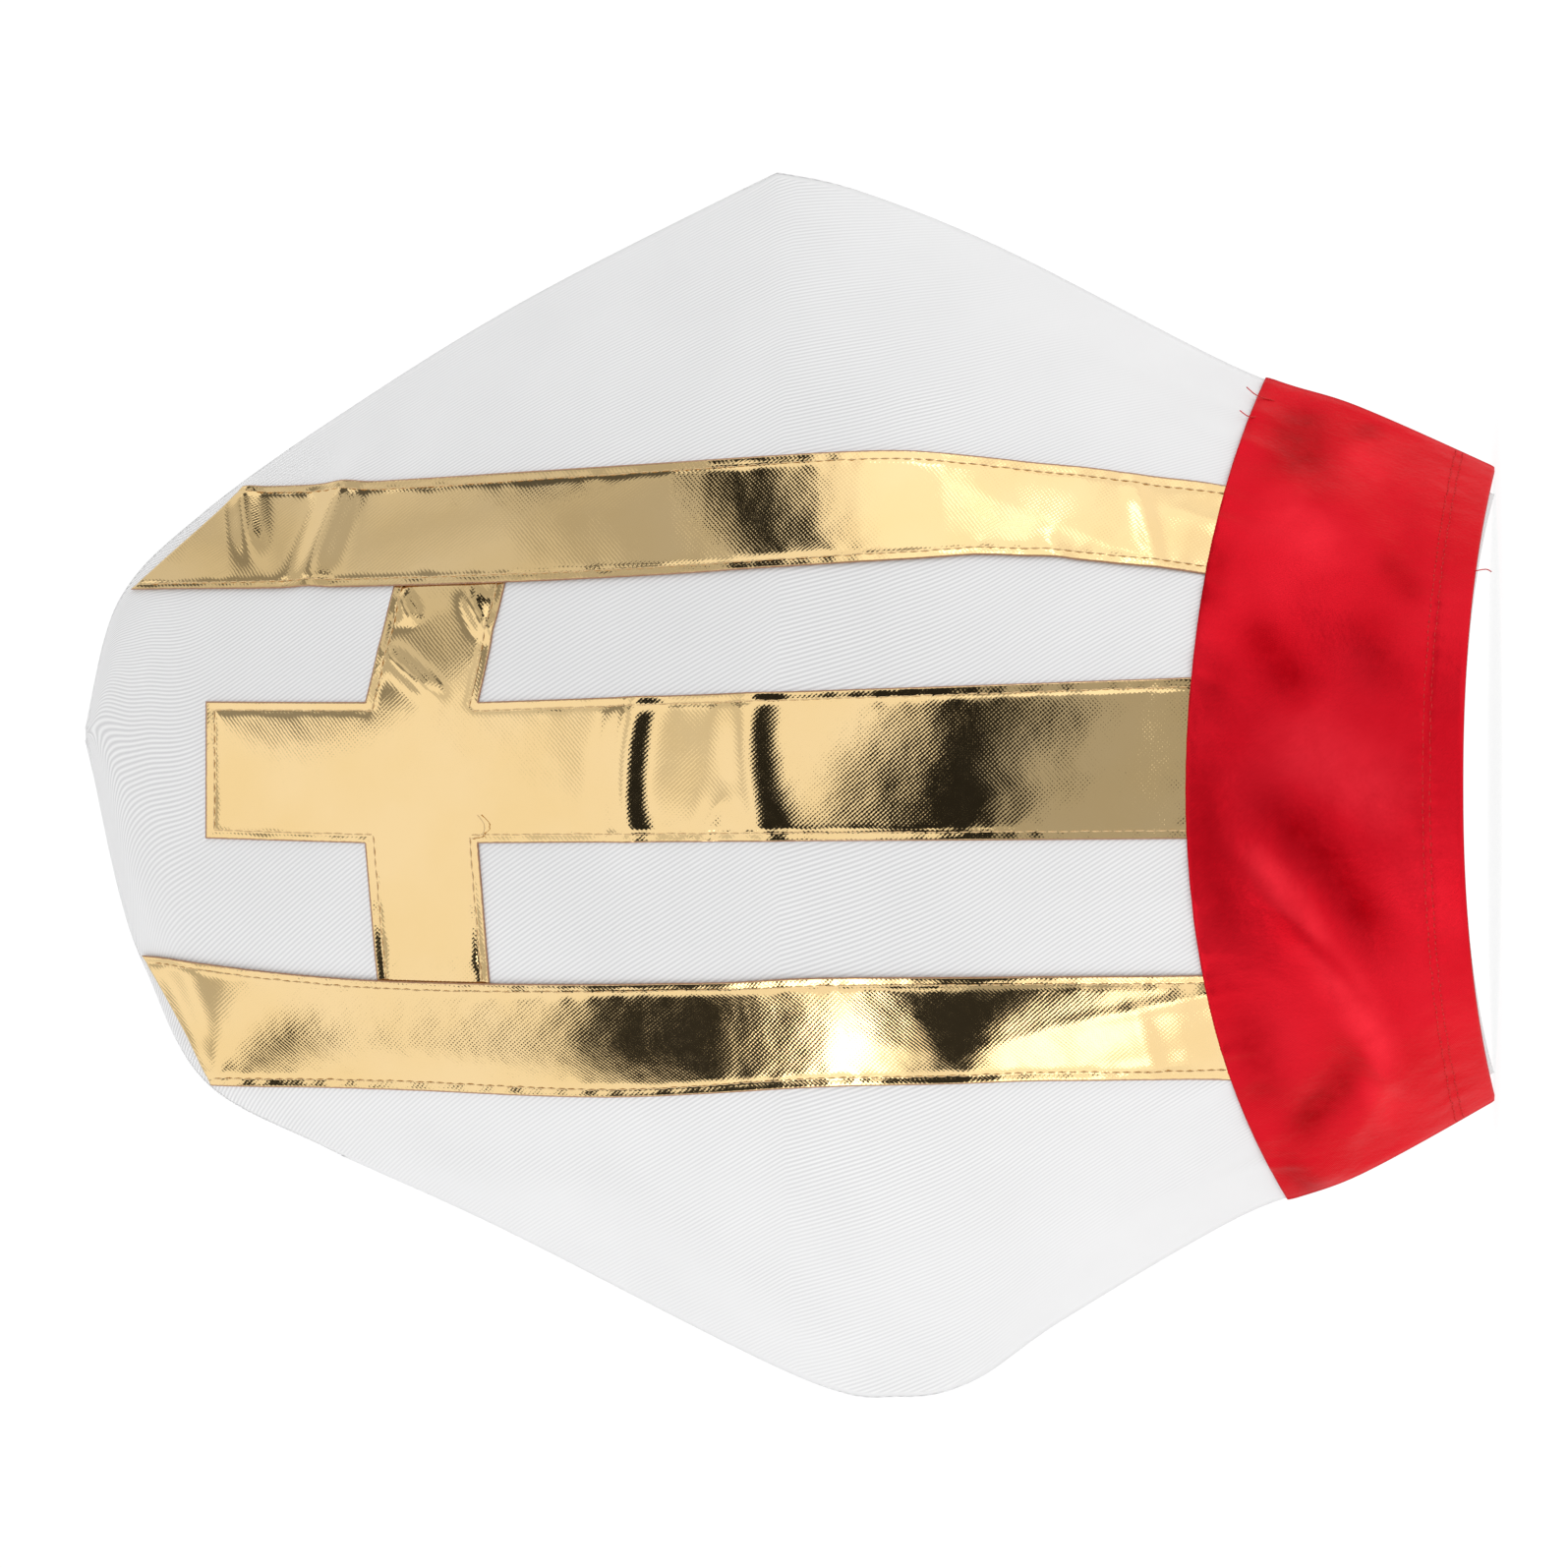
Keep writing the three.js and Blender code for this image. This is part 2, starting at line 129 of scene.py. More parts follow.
def smooth_line(points, divisions=120):
    """A Catmull-Rom curve through the points, as an array of places."""
    p = np.array(points, float)
    spans = len(p) - 1
    t = np.linspace(0, spans, divisions + 1)
    i = np.minimum(t.astype(int), spans - 1)
    f = (t - i)[:, None]
    before, here, there = p[np.maximum(i - 1, 0)], p[i], p[i + 1]
    after = p[np.minimum(i + 2, spans)]
    start, end = (there - before) / 2, (after - here) / 2
    curved = (2 * here - 2 * there + start + end) * f**3
    curved += (3 * there - 3 * here - 2 * start - end) * f**2
    return curved + start * f + here


def edge_table(line, heights):
    """X of an edge line at each height; under its first point it goes on straight."""
    lean = (line[1] - line[0]) / (line[1, 1] - line[0, 1])
    line = np.vstack([line[0] - lean * CALM_REACH * 2, line])
    return np.interp(heights, line[:, 1], line[:, 0])


HEIGHTS = np.linspace(-CALM_REACH * 2, HEIGHT, 1200)
RIGHT_LINE = np.vstack([smooth_line(RIGHT_LOWER_EDGE), smooth_line(RIGHT_UPPER_EDGE)[1:]])
RIGHT_X = edge_table(RIGHT_LINE, HEIGHTS)
LEFT_X = edge_table(smooth_line(LEFT_EDGE, 240), HEIGHTS)
MIDDLE_X = (RIGHT_X + LEFT_X) / 2
HALF_X = np.maximum((RIGHT_X - LEFT_X) / 2, 1)


def at_height(table, z):
    """A table's value at a height."""
    return np.interp(z, HEIGHTS, table)


def calm(table):
    """The table averaged over a stretch of height, so that it has no corner at the shoulders."""
    reach = CALM_REACH * np.clip((HEIGHT - HEIGHTS) / (HEIGHT - SHOULDER_HEIGHT), 0, 1)
    samples = [at_height(table, HEIGHTS + reach * share) for share in np.linspace(-1, 1, CALM_SAMPLES)]
    return np.mean(samples, axis=0)


CALM_MIDDLE, CALM_HALF = calm(MIDDLE_X), calm(HALF_X)


def smoothstep(low, high, value):
    """0 at low, 1 at high and smooth between. It falls instead of rising if low is above high."""
    t = np.clip((value - low) / (high - low), 0, 1)
    return t * t * (3 - 2 * t)


def middle_depth(z):
    """Half depth in the middle of the face."""
    flare = (RIM_HALF_DEPTH - NECK_HALF_DEPTH) * (1 - np.maximum(z, 0) / NECK_HEIGHT) ** 2
    neck = NECK_HALF_DEPTH + flare
    rise = (1 - np.cos(math.pi * (z - NECK_HEIGHT) / (BELLY_HEIGHT - NECK_HEIGHT))) / 2
    waist = NECK_HALF_DEPTH + (BELLY_HALF_DEPTH - NECK_HALF_DEPTH) * rise
    up = np.clip((z - BELLY_HEIGHT) / (HEIGHT - BELLY_HEIGHT), 0, 1)
    crown = BELLY_HALF_DEPTH * (1 - up**CROWN_POWER)
    return np.where(z < NECK_HEIGHT, neck, np.where(z < BELLY_HEIGHT, waist, crown))


def dome_depth(x, z):
    """Distance of the domed surface from the side seams' plane."""
    sharp = np.minimum(np.abs(x - at_height(MIDDLE_X, z)) / at_height(HALF_X, z), 1)
    soft = np.abs(x - at_height(CALM_MIDDLE, z)) / at_height(CALM_HALF, z)
    share = soft + (sharp - soft) * sharp**CORNER_FADE
    return middle_depth(z) * (1 - np.minimum(share, 1) ** DOME_POWER)


def dome_normal(x, z, facing):
    """Directions straight out of the dome."""
    step = 0.6
    by_x = (dome_depth(x + step, z) - dome_depth(x - step, z)) / (2 * step)
    by_z = (dome_depth(x, z + step) - dome_depth(x, z - step)) / (2 * step)
    normal = np.stack([-by_x, facing * np.ones_like(by_x), -by_z], axis=-1)
    return normal / np.linalg.norm(normal, axis=-1, keepdims=True)


def on_dome(x, z, lift, facing):
    """Points at a distance outwards from the dome, over places in the XZ plane."""
    x, z, lift = np.broadcast_arrays(*(np.asarray(value, float) for value in (x, z, lift)))
    base = np.stack([x, facing * dome_depth(x, z), z], axis=-1)
    return base + dome_normal(x, z, facing) * lift[..., None]


def place_at_share(share, z):
    """X at a share (-1 to 1) of the half width."""
    return at_height(MIDDLE_X, z) + share * at_height(HALF_X, z)


def share_of(x, z):
    """How far X is from the middle line, as a share (-1 to 1) of the half width."""
    return (x - at_height(MIDDLE_X, z)) / at_height(HALF_X, z)


def hem_height(share, facing):
    """Height of the rim. It rises from the two corners to the middle."""
    hem = FRONT_HEM_RISE * (1 - np.abs(share) ** HEM_POWER)
    if facing == BACK:
        for centre, reach, drop in BACK_HEM_SAGS:
            hem = hem - drop * np.exp(-(((share - centre) / reach) ** 2))
    return np.maximum(hem, 0)


def band_top(share):
    """Height of the red band's top edge."""
    end = np.where(share > 0, BAND_TOP_RIGHT, BAND_TOP_LEFT)
    return end + (BAND_TOP_MIDDLE - end) * (1 - share**2)


# ---- Relief ----

def fold(x, z, start, end, width, height, bend=0.0):
    """A soft ridge from start to end, bowed sideways by bend. A negative height makes a valley."""
    start, end = np.array(start, float), np.array(end, float)
    along = end - start
    length = np.hypot(*along)
    along = along / length
    dx, dz = x - start[0], z - start[1]
    t = (dx * along[0] + dz * along[1]) / length
    bow = 1 - np.minimum(np.abs(2 * t - 1), 1.5) ** 2
    off = -dx * along[1] + dz * along[0] - bend * bow
    # The ridge fades out round both ends.
    ends = smoothstep(-0.25, 0.3, t) * smoothstep(1.25, 0.7, t)
    return height * ends * np.exp(-((off / width) ** 2))


def waves(x, z, seed, length, height, count=7):
    """Gentle irregular waves: a few sines in fixed pseudo-random directions."""
    rng = np.random.default_rng(seed)
    total = np.zeros(np.broadcast(x, z).shape)
    for _ in range(count):
        angle, phase = rng.uniform(0, 2 * math.pi, 2)
        pitch = length * rng.uniform(0.7, 1.6)
        total += np.sin((x * math.cos(angle) + z * math.sin(angle)) * 2 * math.pi / pitch + phase)
    return height * total / math.sqrt(count)


# Long shallow creases in the white cloth and the foam under it. Every table of folds lists them as
# (start, end, width, height, and the bend if there is one), in millimetres on the front.
BODY_FOLDS = [
    ((100, 170), (128, 128), 7, 0.8),
    ((-104, 296), (-112, 238), 6, 0.7),
    ((-112, 238), (-158, 178), 8, 0.9),
    ((-150, 96), (-100, 78), 5, 0.8),
    ((110, 240), (140, 190), 16, -0.6),
    ((-60, 150), (-130, 168), 22, 0.7),
    ((60, 120), (128, 104), 12, 0.5),
]

# Broad soft folds of the satin.
BAND_FOLDS = [
    ((108, 56), (80, 50), 8, -1.0),
    ((84, 66), (66, 40), 9, 1.2),
    ((58, 62), (34, 58), 8, -0.9),
    ((46, 40), (26, 24), 9, 1.1),
    ((0, 72), (-50, 30), 9, -1.5, 4),
    ((-20, 74), (-62, 42), 6, 1.5, 4),
    ((-56, 48), (-78, 32), 5, 1.3),
    ((-72, 40), (-92, 54), 6, -1.4),
    ((-78, 30), (-98, 42), 4, 1.2),
    ((-96, 60), (-112, 44), 5, 1.0),
    ((22, 58), (0, 26), 12, 1.0),
    ((78, 30), (60, 26), 5, -0.7),
    ((-74, 36), (-84, 24), 2.5, 0.5),
    ((-82, 38), (-94, 30), 2.5, 0.5),
]

# Painted shade and painted highlight on the satin, in place of the dark and bright reflections of its
# folds. The height is how dark it is painted there, or, if negative, how bright.
BAND_PAINTED_LIGHT = [
    ((103, 54), (84, 54), 8, 0.9),
    ((99, 35), (94, 35), 4, 0.5),
    ((66, 76), (46, 83), 5, 0.6),
    ((44, 68), (24, 54), 6, 0.85),
    ((46, 38), (26, 29), 7, 0.55),
    ((-4, 64), (-46, 31), 8, 0.9, 3),
    ((4, 82), (-44, 73), 7, 0.55),
    ((-36, 62), (-60, 37), 2.4, 0.6, 2),
    ((-96, 56), (-76, 37), 6, 0.9),
    ((-62, 70), (-88, 62), 8, 0.6),
    ((-104, 59), (-114, 46), 4, 0.5),
    ((20, 80), (34, 74), 5, 0.4),
    ((62, 32), (50, 22), 4, 0.5),
    ((14, 60), (-8, 26), 10, -0.6),
    ((-16, 72), (-52, 46), 5, -0.7, 3),
    ((-50, 44), (-78, 30), 5, -0.8),
    ((80, 62), (60, 44), 8, -0.4),
    ((92, 40), (84, 30), 6, -0.4),
    ((-78, 38), (-92, 28), 5, -0.5),
]

# Creases of the foil.
FOIL_FOLDS = [
    ((90, 312), (50, 327), 4.6, 1.85),
    ((88, 344), (62, 341), 3.8, 1.5),
    ((32, 232), (-22, 236), 5.4, 1.8, -5),
    ((34, 202), (-24, 197), 6.5, 1.35, -6),
    ((-2, 212), (-20, 220), 3.4, 0.6),
    ((36, 304), (24, 290), 2.8, 1.4),
    ((52, 281), (40, 275), 2.8, 1.3),
    ((52, 300), (44, 296), 2.8, 1.1),
    ((66, 126), (60, 118), 4.0, 0.7),
    ((-80, 348), (-70, 356), 3.0, 0.3),
    ((-48, 366), (-76, 355), 4.5, -0.9),
    ((-60, 100), (-80, 94), 3.0, 0.2),
    ((82, 100), (60, 94), 2.6, 0.45),
]


def seam_puckers(x, z, facing):
    """Short folds that run up from the band's seam, where the cloth is gathered a little."""
    rng = np.random.default_rng(5 + facing)
    share = share_of(x, z)
    above = z - band_top(share)
    total = np.zeros(np.broadcast(x, z).shape)
    outermost, count = 0.93, 17
    for centre in np.linspace(-outermost, outermost, count):
        centre += rng.uniform(-0.04, 0.04)
        reach = rng.uniform(9, 30)
        lean = rng.uniform(-0.0016, 0.0016)
        off = (share - centre - lean * above) / rng.uniform(0.012, 0.028)
        total += rng.uniform(0.25, 1.0) * np.exp(-(off**2)) * np.exp(-np.maximum(above, 0) / reach)
    # The foil on the middle of the front keeps the cloth flat.
    shaft_middle, shaft_reach = 4, 24
    under_shaft = np.exp(-(((x - shaft_middle) / shaft_reach) ** 4)) if facing == FRONT else 0
    return total * smoothstep(-16, 0, above) * (1 - 0.9 * under_shaft)


def folds(x, z, table):
    """The sum of a table of folds."""
    return sum(fold(x, z, *entry) for entry in table)


def body_relief(x, z, facing):
    """Relief that every layer shares. A fold in the foil or the satin is in the cloth under it too."""
    mirrored = x if facing == FRONT else -x
    relief = waves(x, z, seed=3 + facing, length=95, height=0.3)
    relief += waves(x, z, seed=13 + facing, length=38, height=0.08)
    under_band = smoothstep(3, -12, z - band_top(share_of(x, z)))
    relief = relief + folds(mirrored, z, BODY_FOLDS) + folds(mirrored, z, BAND_FOLDS) * under_band
    if facing == FRONT:
        relief = relief + folds(x, z, FOIL_FOLDS)
    near_edge = smoothstep(1.0, 0.93, np.abs(share_of(x, z)))
    return (relief + seam_puckers(x, z, facing)) * near_edge


# ---- Meshes ----

def add_mesh(name, points, faces, cloth=None):
    """An object from points in millimetres. cloth gives each point its place on the cloth, in mm."""
    mesh = bpy.data.meshes.new(name)
    mesh.from_pydata((np.asarray(points) * MM).tolist(), [], faces)
    mesh.update()
    if cloth is not None:
        corners = np.empty(len(mesh.loops), np.int32)
        mesh.loops.foreach_get("vertex_index", corners)
        layer = mesh.uv_layers.new(name="cloth")
        layer.data.foreach_set("uv", (np.asarray(cloth) * MM)[corners].astype(np.float32).ravel())
    mesh.shade_smooth()
    piece = bpy.data.objects.new(name, mesh)
    bpy.context.scene.collection.objects.link(piece)
    return piece


def cloth_places(points):
    """Where each point of a grid lies on the flat cloth: lengths along its rows and columns."""
    across = np.linalg.norm(np.diff(points, axis=1), axis=-1)
    u = np.concatenate([np.zeros((points.shape[0], 1)), np.cumsum(across, axis=1)], axis=1)
    u -= u[:, points.shape[1] // 2][:, None]
    up = np.linalg.norm(np.diff(points, axis=0), axis=-1)
    v = np.concatenate([np.zeros((1, points.shape[1])), np.cumsum(up, axis=0)], axis=0)
    return np.stack([u, v], axis=-1)


def flat_size(points, present):
    """Width, length and area in metres of the cloth that the present cells of a grid are cut from."""
    across = np.linalg.norm(np.diff(points, axis=1), axis=-1).sum(axis=1).max()
    up = np.linalg.norm(np.diff(points, axis=0), axis=-1).sum(axis=0).max()
    a = points[1:, :-1] - points[:-1, :-1]
    b = points[:-1, 1:] - points[:-1, :-1]
    area = np.linalg.norm(np.cross(a, b), axis=-1)[present].sum()
    return across * MM, up * MM, area * MM * MM


def cloth_sheet(name, points, thickness, facing, present=None):
    """A sheet of cloth over a grid of points (rows, columns, 3), its outer side on the points."""
    rows, columns = points.shape[:2]
    present = np.ones((rows - 1, columns - 1), bool) if present is None else present
    number = np.arange(rows * columns).reshape(rows, columns)
    cells = np.stack([number[:-1, :-1], number[:-1, 1:], number[1:, 1:], number[1:, :-1]], axis=-1)
    faces = cells[present]
    if facing == BACK:
        faces = faces[:, ::-1]
    used, faces = np.unique(faces, return_inverse=True)
    cloth = cloth_places(points).reshape(-1, 2)[used]
    piece = add_mesh(name, points.reshape(-1, 3)[used], faces.reshape(-1, 4).tolist(), cloth)
    solid = piece.modifiers.new("thickness", "SOLIDIFY")
    solid.thickness = thickness * MM
    solid.offset = -1
    return piece


def keep(piece, node, material):
    """Puts the piece in the place of its CAD node, with its material."""
    piece.data.materials.append(material)
    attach(piece, "root")
    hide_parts(node)
    return piece


def declare_sheet(points, present=...):
    """Works out the flat size of a sheet made by cloth_sheet(); nothing uses the result.

    present says which cells of the grid are cloth. Without it they all are.
    """
    width, length, area = flat_size(points, present)
    area = min(area, width * length)


def store_value(piece, name, values):
    """Keeps a value for each of the piece's points, for its material."""
    layer = piece.data.attributes.new(name, "FLOAT", "POINT")
    layer.data.foreach_set("value", np.asarray(values, np.float32).ravel())


# ---- Shader helpers ----

class NodeNet:
    """Short ways to add nodes to a node tree. A value is a number, a colour or another node's socket."""

    def __init__(self, tree):
        self.tree = tree

    def node(self, kind, **settings):
        """A new node with some of its settings."""
        made = self.tree.nodes.new(kind)
        for key, value in settings.items():
            setattr(made, key, value)
        return made

    def feed(self, socket, value):
        """Links another node's socket to a socket, or gives the socket a value of its own."""
        if isinstance(value, bpy.types.NodeSocket):
            self.tree.links.new(value, socket)
        elif value is not None:
            socket.default_value = value

    def math(self, operation, a, b=None, c=None, clamp=False):
        made = self.node("ShaderNodeMath", operation=operation, use_clamp=clamp)
        for socket, value in zip(made.inputs, (a, b, c)):
            self.feed(socket, value)
        return made.outputs[0]

    def mix_colour(self, share, a, b, blend="MIX"):
        made = self.node("ShaderNodeMix", data_type="RGBA", blend_type=blend)
        self.feed(made.inputs[0], share)
        self.feed(made.inputs[6], a)
        self.feed(made.inputs[7], b)
        return made.outputs[2]

    def grey(self, value):
        made = self.node("ShaderNodeCombineColor")
        for socket in made.inputs:
            self.feed(socket, value)
        return made.outputs[0]

    def noise(self, vector, scale, detail=2.0, roughness=0.5):
        made = self.node("ShaderNodeTexNoise", noise_dimensions="3D")
        self.feed(made.inputs["Vector"], vector)
        self.feed(made.inputs["Scale"], scale)
        self.feed(made.inputs["Detail"], detail)
        self.feed(made.inputs["Roughness"], roughness)
        return made.outputs["Fac"]

    def remap(self, value, from_low, from_high, to_low, to_high):
        """A value moved from one range to another, and held inside it."""
        made = self.node("ShaderNodeMapRange", clamp=True)
        for socket, number in zip(made.inputs[1:5], (from_low, from_high, to_low, to_high)):
            self.feed(socket, number)
        self.feed(made.inputs[0], value)
        return made.outputs[0]

    def bump(self, height, strength, distance, normal=None):
        made = self.node("ShaderNodeBump")
        self.feed(made.inputs["Strength"], strength)
        self.feed(made.inputs["Distance"], distance)
        self.feed(made.inputs["Height"], height)
        if normal is not None:
            self.feed(made.inputs["Normal"], normal)
        return made.outputs["Normal"]

    def group(self, tree, **inputs):
        """A shader group with its inputs. Returns its outputs."""
        made = self.node("ShaderNodeGroup", node_tree=tree)
        for key, value in inputs.items():
            self.feed(made.inputs[key], value)
        return made.outputs


def new_group(name, inputs, outputs):
    """An empty shader group with named sockets. Returns its net, its input sockets and its output node."""
    tree = bpy.data.node_groups.new(name, "ShaderNodeTree")
    for label, kind, default in inputs:
        socket = tree.interface.new_socket(label, in_out="INPUT", socket_type=kind)
        if default is not None:
            socket.default_value = default
    for label, kind in outputs:
        tree.interface.new_socket(label, in_out="OUTPUT", socket_type=kind)
    net = NodeNet(tree)
    return net, net.node("NodeGroupInput").outputs, net.node("NodeGroupOutput").inputs


def twill_group():
    """Slanting ribs of a twill, each broken up into short floats of thread."""
    net, inputs, outputs = new_group(
        "twill_weave",
        [("Cloth", "NodeSocketVector", None), ("Pitch", "NodeSocketFloat", 0.9),
         ("Slant", "NodeSocketFloat", 0.5)],
        [("Height", "NodeSocketFloat"), ("Rib", "NodeSocketFloat")],
    )
    split = net.node("ShaderNodeSeparateXYZ")
    net.feed(split.inputs[0], inputs["Cloth"])
    u, v = split.outputs[0], split.outputs[1]
    cos = net.math("COSINE", inputs["Slant"])
    sin = net.math("SINE", inputs["Slant"])
    off = net.math("ADD", net.math("MULTIPLY", u, cos), net.math("MULTIPLY", v, sin))
    turn = net.math("DIVIDE", net.math("MULTIPLY", off, 2 * math.pi), inputs["Pitch"])
    rib = net.math("SINE", turn)
    float_turn = net.math("DIVIDE", net.math("MULTIPLY", v, 4 * math.pi), inputs["Pitch"])
    net.feed(outputs["Height"], net.math("MULTIPLY_ADD", net.math("SINE", float_turn), 0.35, rib))
    net.feed(outputs["Rib"], net.math("MULTIPLY_ADD", rib, 0.5, 0.5))
    return net.tree


def plain_group():
    """Over-and-under threads of a plain weave, turned on the bias by Slant."""
    net, inputs, outputs = new_group(
        "plain_weave",
        [("Cloth", "NodeSocketVector", None), ("Pitch", "NodeSocketFloat", 0.5),
         ("Slant", "NodeSocketFloat", 0.0)],
        [("Height", "NodeSocketFloat")],
    )
    uneven = net.node("ShaderNodeTexNoise")
    net.feed(uneven.inputs["Vector"], inputs["Cloth"])
    uneven.inputs["Scale"].default_value = 0.8
    nudge = net.node("ShaderNodeVectorMath", operation="MULTIPLY_ADD")
    net.feed(nudge.inputs[0], uneven.outputs["Color"])
    nudge.inputs[1].default_value = (0.5, 0.5, 0)
    net.feed(nudge.inputs[2], inputs["Cloth"])
    turned = net.node("ShaderNodeVectorRotate", rotation_type="Z_AXIS")
    net.feed(turned.inputs["Vector"], nudge.outputs[0])
    net.feed(turned.inputs["Angle"], inputs["Slant"])
    split = net.node("ShaderNodeSeparateXYZ")
    net.feed(split.inputs[0], turned.outputs[0])
    threads = []
    for i in (0, 1):
        turn = net.math("DIVIDE", net.math("MULTIPLY", split.outputs[i], math.pi), inputs["Pitch"])
        threads.append(net.math("SINE", turn))
    net.feed(outputs["Height"], net.math("MULTIPLY", *threads))
    return net.tree


def mottle_group():
    """Uneven tone of cloth: broad clouds and fine slubs, both round 0.5."""
    net, inputs, outputs = new_group(
        "cloth_mottle",
        [("Cloth", "NodeSocketVector", None)],
        [("Clouds", "NodeSocketFloat"), ("Slubs", "NodeSocketFloat")],
    )
    net.feed(outputs["Clouds"], net.noise(inputs["Cloth"], 0.03, 3.0))
    net.feed(outputs["Slubs"], net.noise(inputs["Cloth"], 0.9, 2.0))
    return net.tree


TWILL, PLAIN, MOTTLE = twill_group(), plain_group(), mottle_group()


def cloth_material(name, finish):
    """A material with its net, its shader and the place on the cloth in millimetres.

    finish gives the shader's inputs that don't change over the surface.
    """
    material = bpy.data.materials.new(name)
    material.use_nodes = True
    net = NodeNet(material.node_tree)
    shader = material.node_tree.nodes["Principled BSDF"]
    for label, value in finish.items():
        shader.inputs[label].default_value = value
    place = net.node("ShaderNodeUVMap", uv_map="cloth")
    scaled = net.node("ShaderNodeVectorMath", operation="SCALE")
    net.feed(scaled.inputs[0], place.outputs[0])
    scaled.inputs["Scale"].default_value = 1 / MM
    return material, net, shader, scaled.outputs[0]


def white_twill():
    """Matt white polyester with slanting ribs, the grooves between them darkened with painted shade."""
    material, net, shader, cloth = cloth_material(
        "white_twill", {"Roughness": 0.62, "Sheen Weight": 0.15, "Sheen Roughness": 0.4}
    )
    weave = net.group(TWILL, Cloth=cloth, Pitch=WHITE_PITCH, Slant=math.radians(30))
    mottle = net.group(MOTTLE, Cloth=cloth)
    # At a slant the ribs run together into an even tone.
    slanted = net.remap(net.node("ShaderNodeLayerWeight").outputs["Facing"], 0.2, 0.45, 0, 1)
    rib = net.math("MULTIPLY_ADD", net.math("SUBTRACT", 0.5, weave["Rib"]), slanted, weave["Rib"])
    # Painted shade: the darker colour in the grooves stands in for the shading of the ribs.
    ribbed = net.mix_colour(rib, WHITE_GROOVE_PAINTED_SHADE, WHITE_RIB)
    toned = net.remap(mottle["Clouds"], 0.3, 0.7, 0.97, 1.0)
    net.feed(shader.inputs["Base Color"], net.mix_colour(1.0, ribbed, net.grey(toned), "MULTIPLY"))
    net.feed(shader.inputs["Normal"], net.bump(weave["Height"], 1.0, 0.004 * MM))
    return material


def gold_foil():
    """Gold film on a plain weave, with a brown raw edge."""
    material, net, shader, cloth = cloth_material("gold_foil", {})
    weave = net.group(PLAIN, Cloth=cloth, Pitch=GOLD_PITCH, Slant=math.radians(4))
    mottle = net.group(MOTTLE, Cloth=cloth)
    scratches = net.noise(cloth, 0.35, 4.0, 0.7)
    clouds = net.remap(mottle["Clouds"], 0.35, 0.65, 0, 1)
    tone = net.mix_colour(clouds, GOLD_DEEP, GOLD_PALE)
    edge = net.node("ShaderNodeAttribute", attribute_name="edge_distance").outputs["Fac"]
    frayed = net.math("ADD", edge, net.math("MULTIPLY", mottle["Slubs"], 0.5))
    raw_edge = net.remap(frayed, 0.45, 0.7, 1, 0)
    net.feed(shader.inputs["Base Color"], net.mix_colour(raw_edge, tone, GOLD_RAW_EDGE))
    net.feed(shader.inputs["Metallic"], net.math("SUBTRACT", 1.0, raw_edge))
    worn = net.remap(scratches, 0.4, 0.75, 0.05, 0.12)
    net.feed(shader.inputs["Roughness"], worn)
    crumple = net.bump(net.noise(cloth, 0.14, 1.0, 0.5), 1.0, 0.06 * MM)
    fine = net.bump(weave["Height"], 1.0, 0.008 * MM, crumple)
    net.feed(shader.inputs["Normal"], net.bump(mottle["Slubs"], 1.0, 0.006 * MM, fine))
    return material


def red_satin():
    """Shiny satin, with painted shade and painted highlight in patches over it."""
    material, net, shader, cloth = cloth_material(
        "red_satin",
        {"Metallic": 0.45, "Roughness": 0.3, "Specular Tint": SATIN_GLINT, "Specular IOR Level": 0.1},
    )
    weave = net.group(TWILL, Cloth=cloth, Pitch=SATIN_PITCH, Slant=math.radians(38))
    mottle = net.group(MOTTLE, Cloth=cloth)
    tone = net.remap(mottle["Clouds"], 0.3, 0.7, 0, 1)
    satin = net.mix_colour(tone, SATIN_DEEP, SATIN_PALE)
    # The attribute read here holds painted shade and painted highlight: where positive it darkens the
    # satin, where negative it lightens it, broken into patches by a noise.
    painted_shade_and_highlight = net.node("ShaderNodeAttribute", attribute_name="painted_shade_and_highlight").outputs["Fac"]
    patches = net.remap(net.noise(cloth, 0.12, 3.0, 0.6), 0.35, 0.6, 0.75, 1.1)
    patchy_painted_light = net.math("MULTIPLY", painted_shade_and_highlight, patches)
    dark = net.mix_colour(net.math("MAXIMUM", patchy_painted_light, 0.0), satin, SATIN_PAINTED_SHADE)
    painted_highlight_share = net.math("MAXIMUM", net.math("MULTIPLY", patchy_painted_light, -1.0), 0.0)
    net.feed(shader.inputs["Base Color"], net.mix_colour(painted_highlight_share, dark, SATIN_PAINTED_HIGHLIGHT))
    crush = net.bump(net.noise(cloth, 0.09, 4.0, 0.6), 1.0, 0.6 * MM)
    fine = net.bump(weave["Height"], 1.0, 0.012 * MM, crush)
    net.feed(shader.inputs["Normal"], net.bump(mottle["Slubs"], 1.0, 0.02 * MM, fine))
    return material


def lining_cloth():
    """Thin white lining, a little wrinkled."""
    material, net, shader, cloth = cloth_material("lining", {"Roughness": 0.75})
    weave = net.group(PLAIN, Cloth=cloth, Pitch=LINING_PITCH, Slant=0.0)
    mottle = net.group(MOTTLE, Cloth=cloth)
    tone = net.remap(mottle["Clouds"], 0.3, 0.7, 0.84, 0.9)
    net.feed(shader.inputs["Base Color"], net.grey(tone))
    wrinkles = net.bump(net.noise(cloth, 0.05, 4.0, 0.55), 0.6, 1.2 * MM)
    net.feed(shader.inputs["Normal"], net.bump(weave["Height"], 0.3, 0.04 * MM, wrinkles))
    return material


def foam_core():
    """Off-white foam sheet."""
    material, net, shader, cloth = cloth_material("foam", {"Roughness": 0.95})
    cells = net.noise(cloth, 1.6, 3.0, 0.7)
    net.feed(shader.inputs["Base Color"], net.mix_colour(cells, FOAM_DEEP, FOAM_PALE))
    net.feed(shader.inputs["Normal"], net.bump(cells, 0.8, 0.3 * MM))
    return material


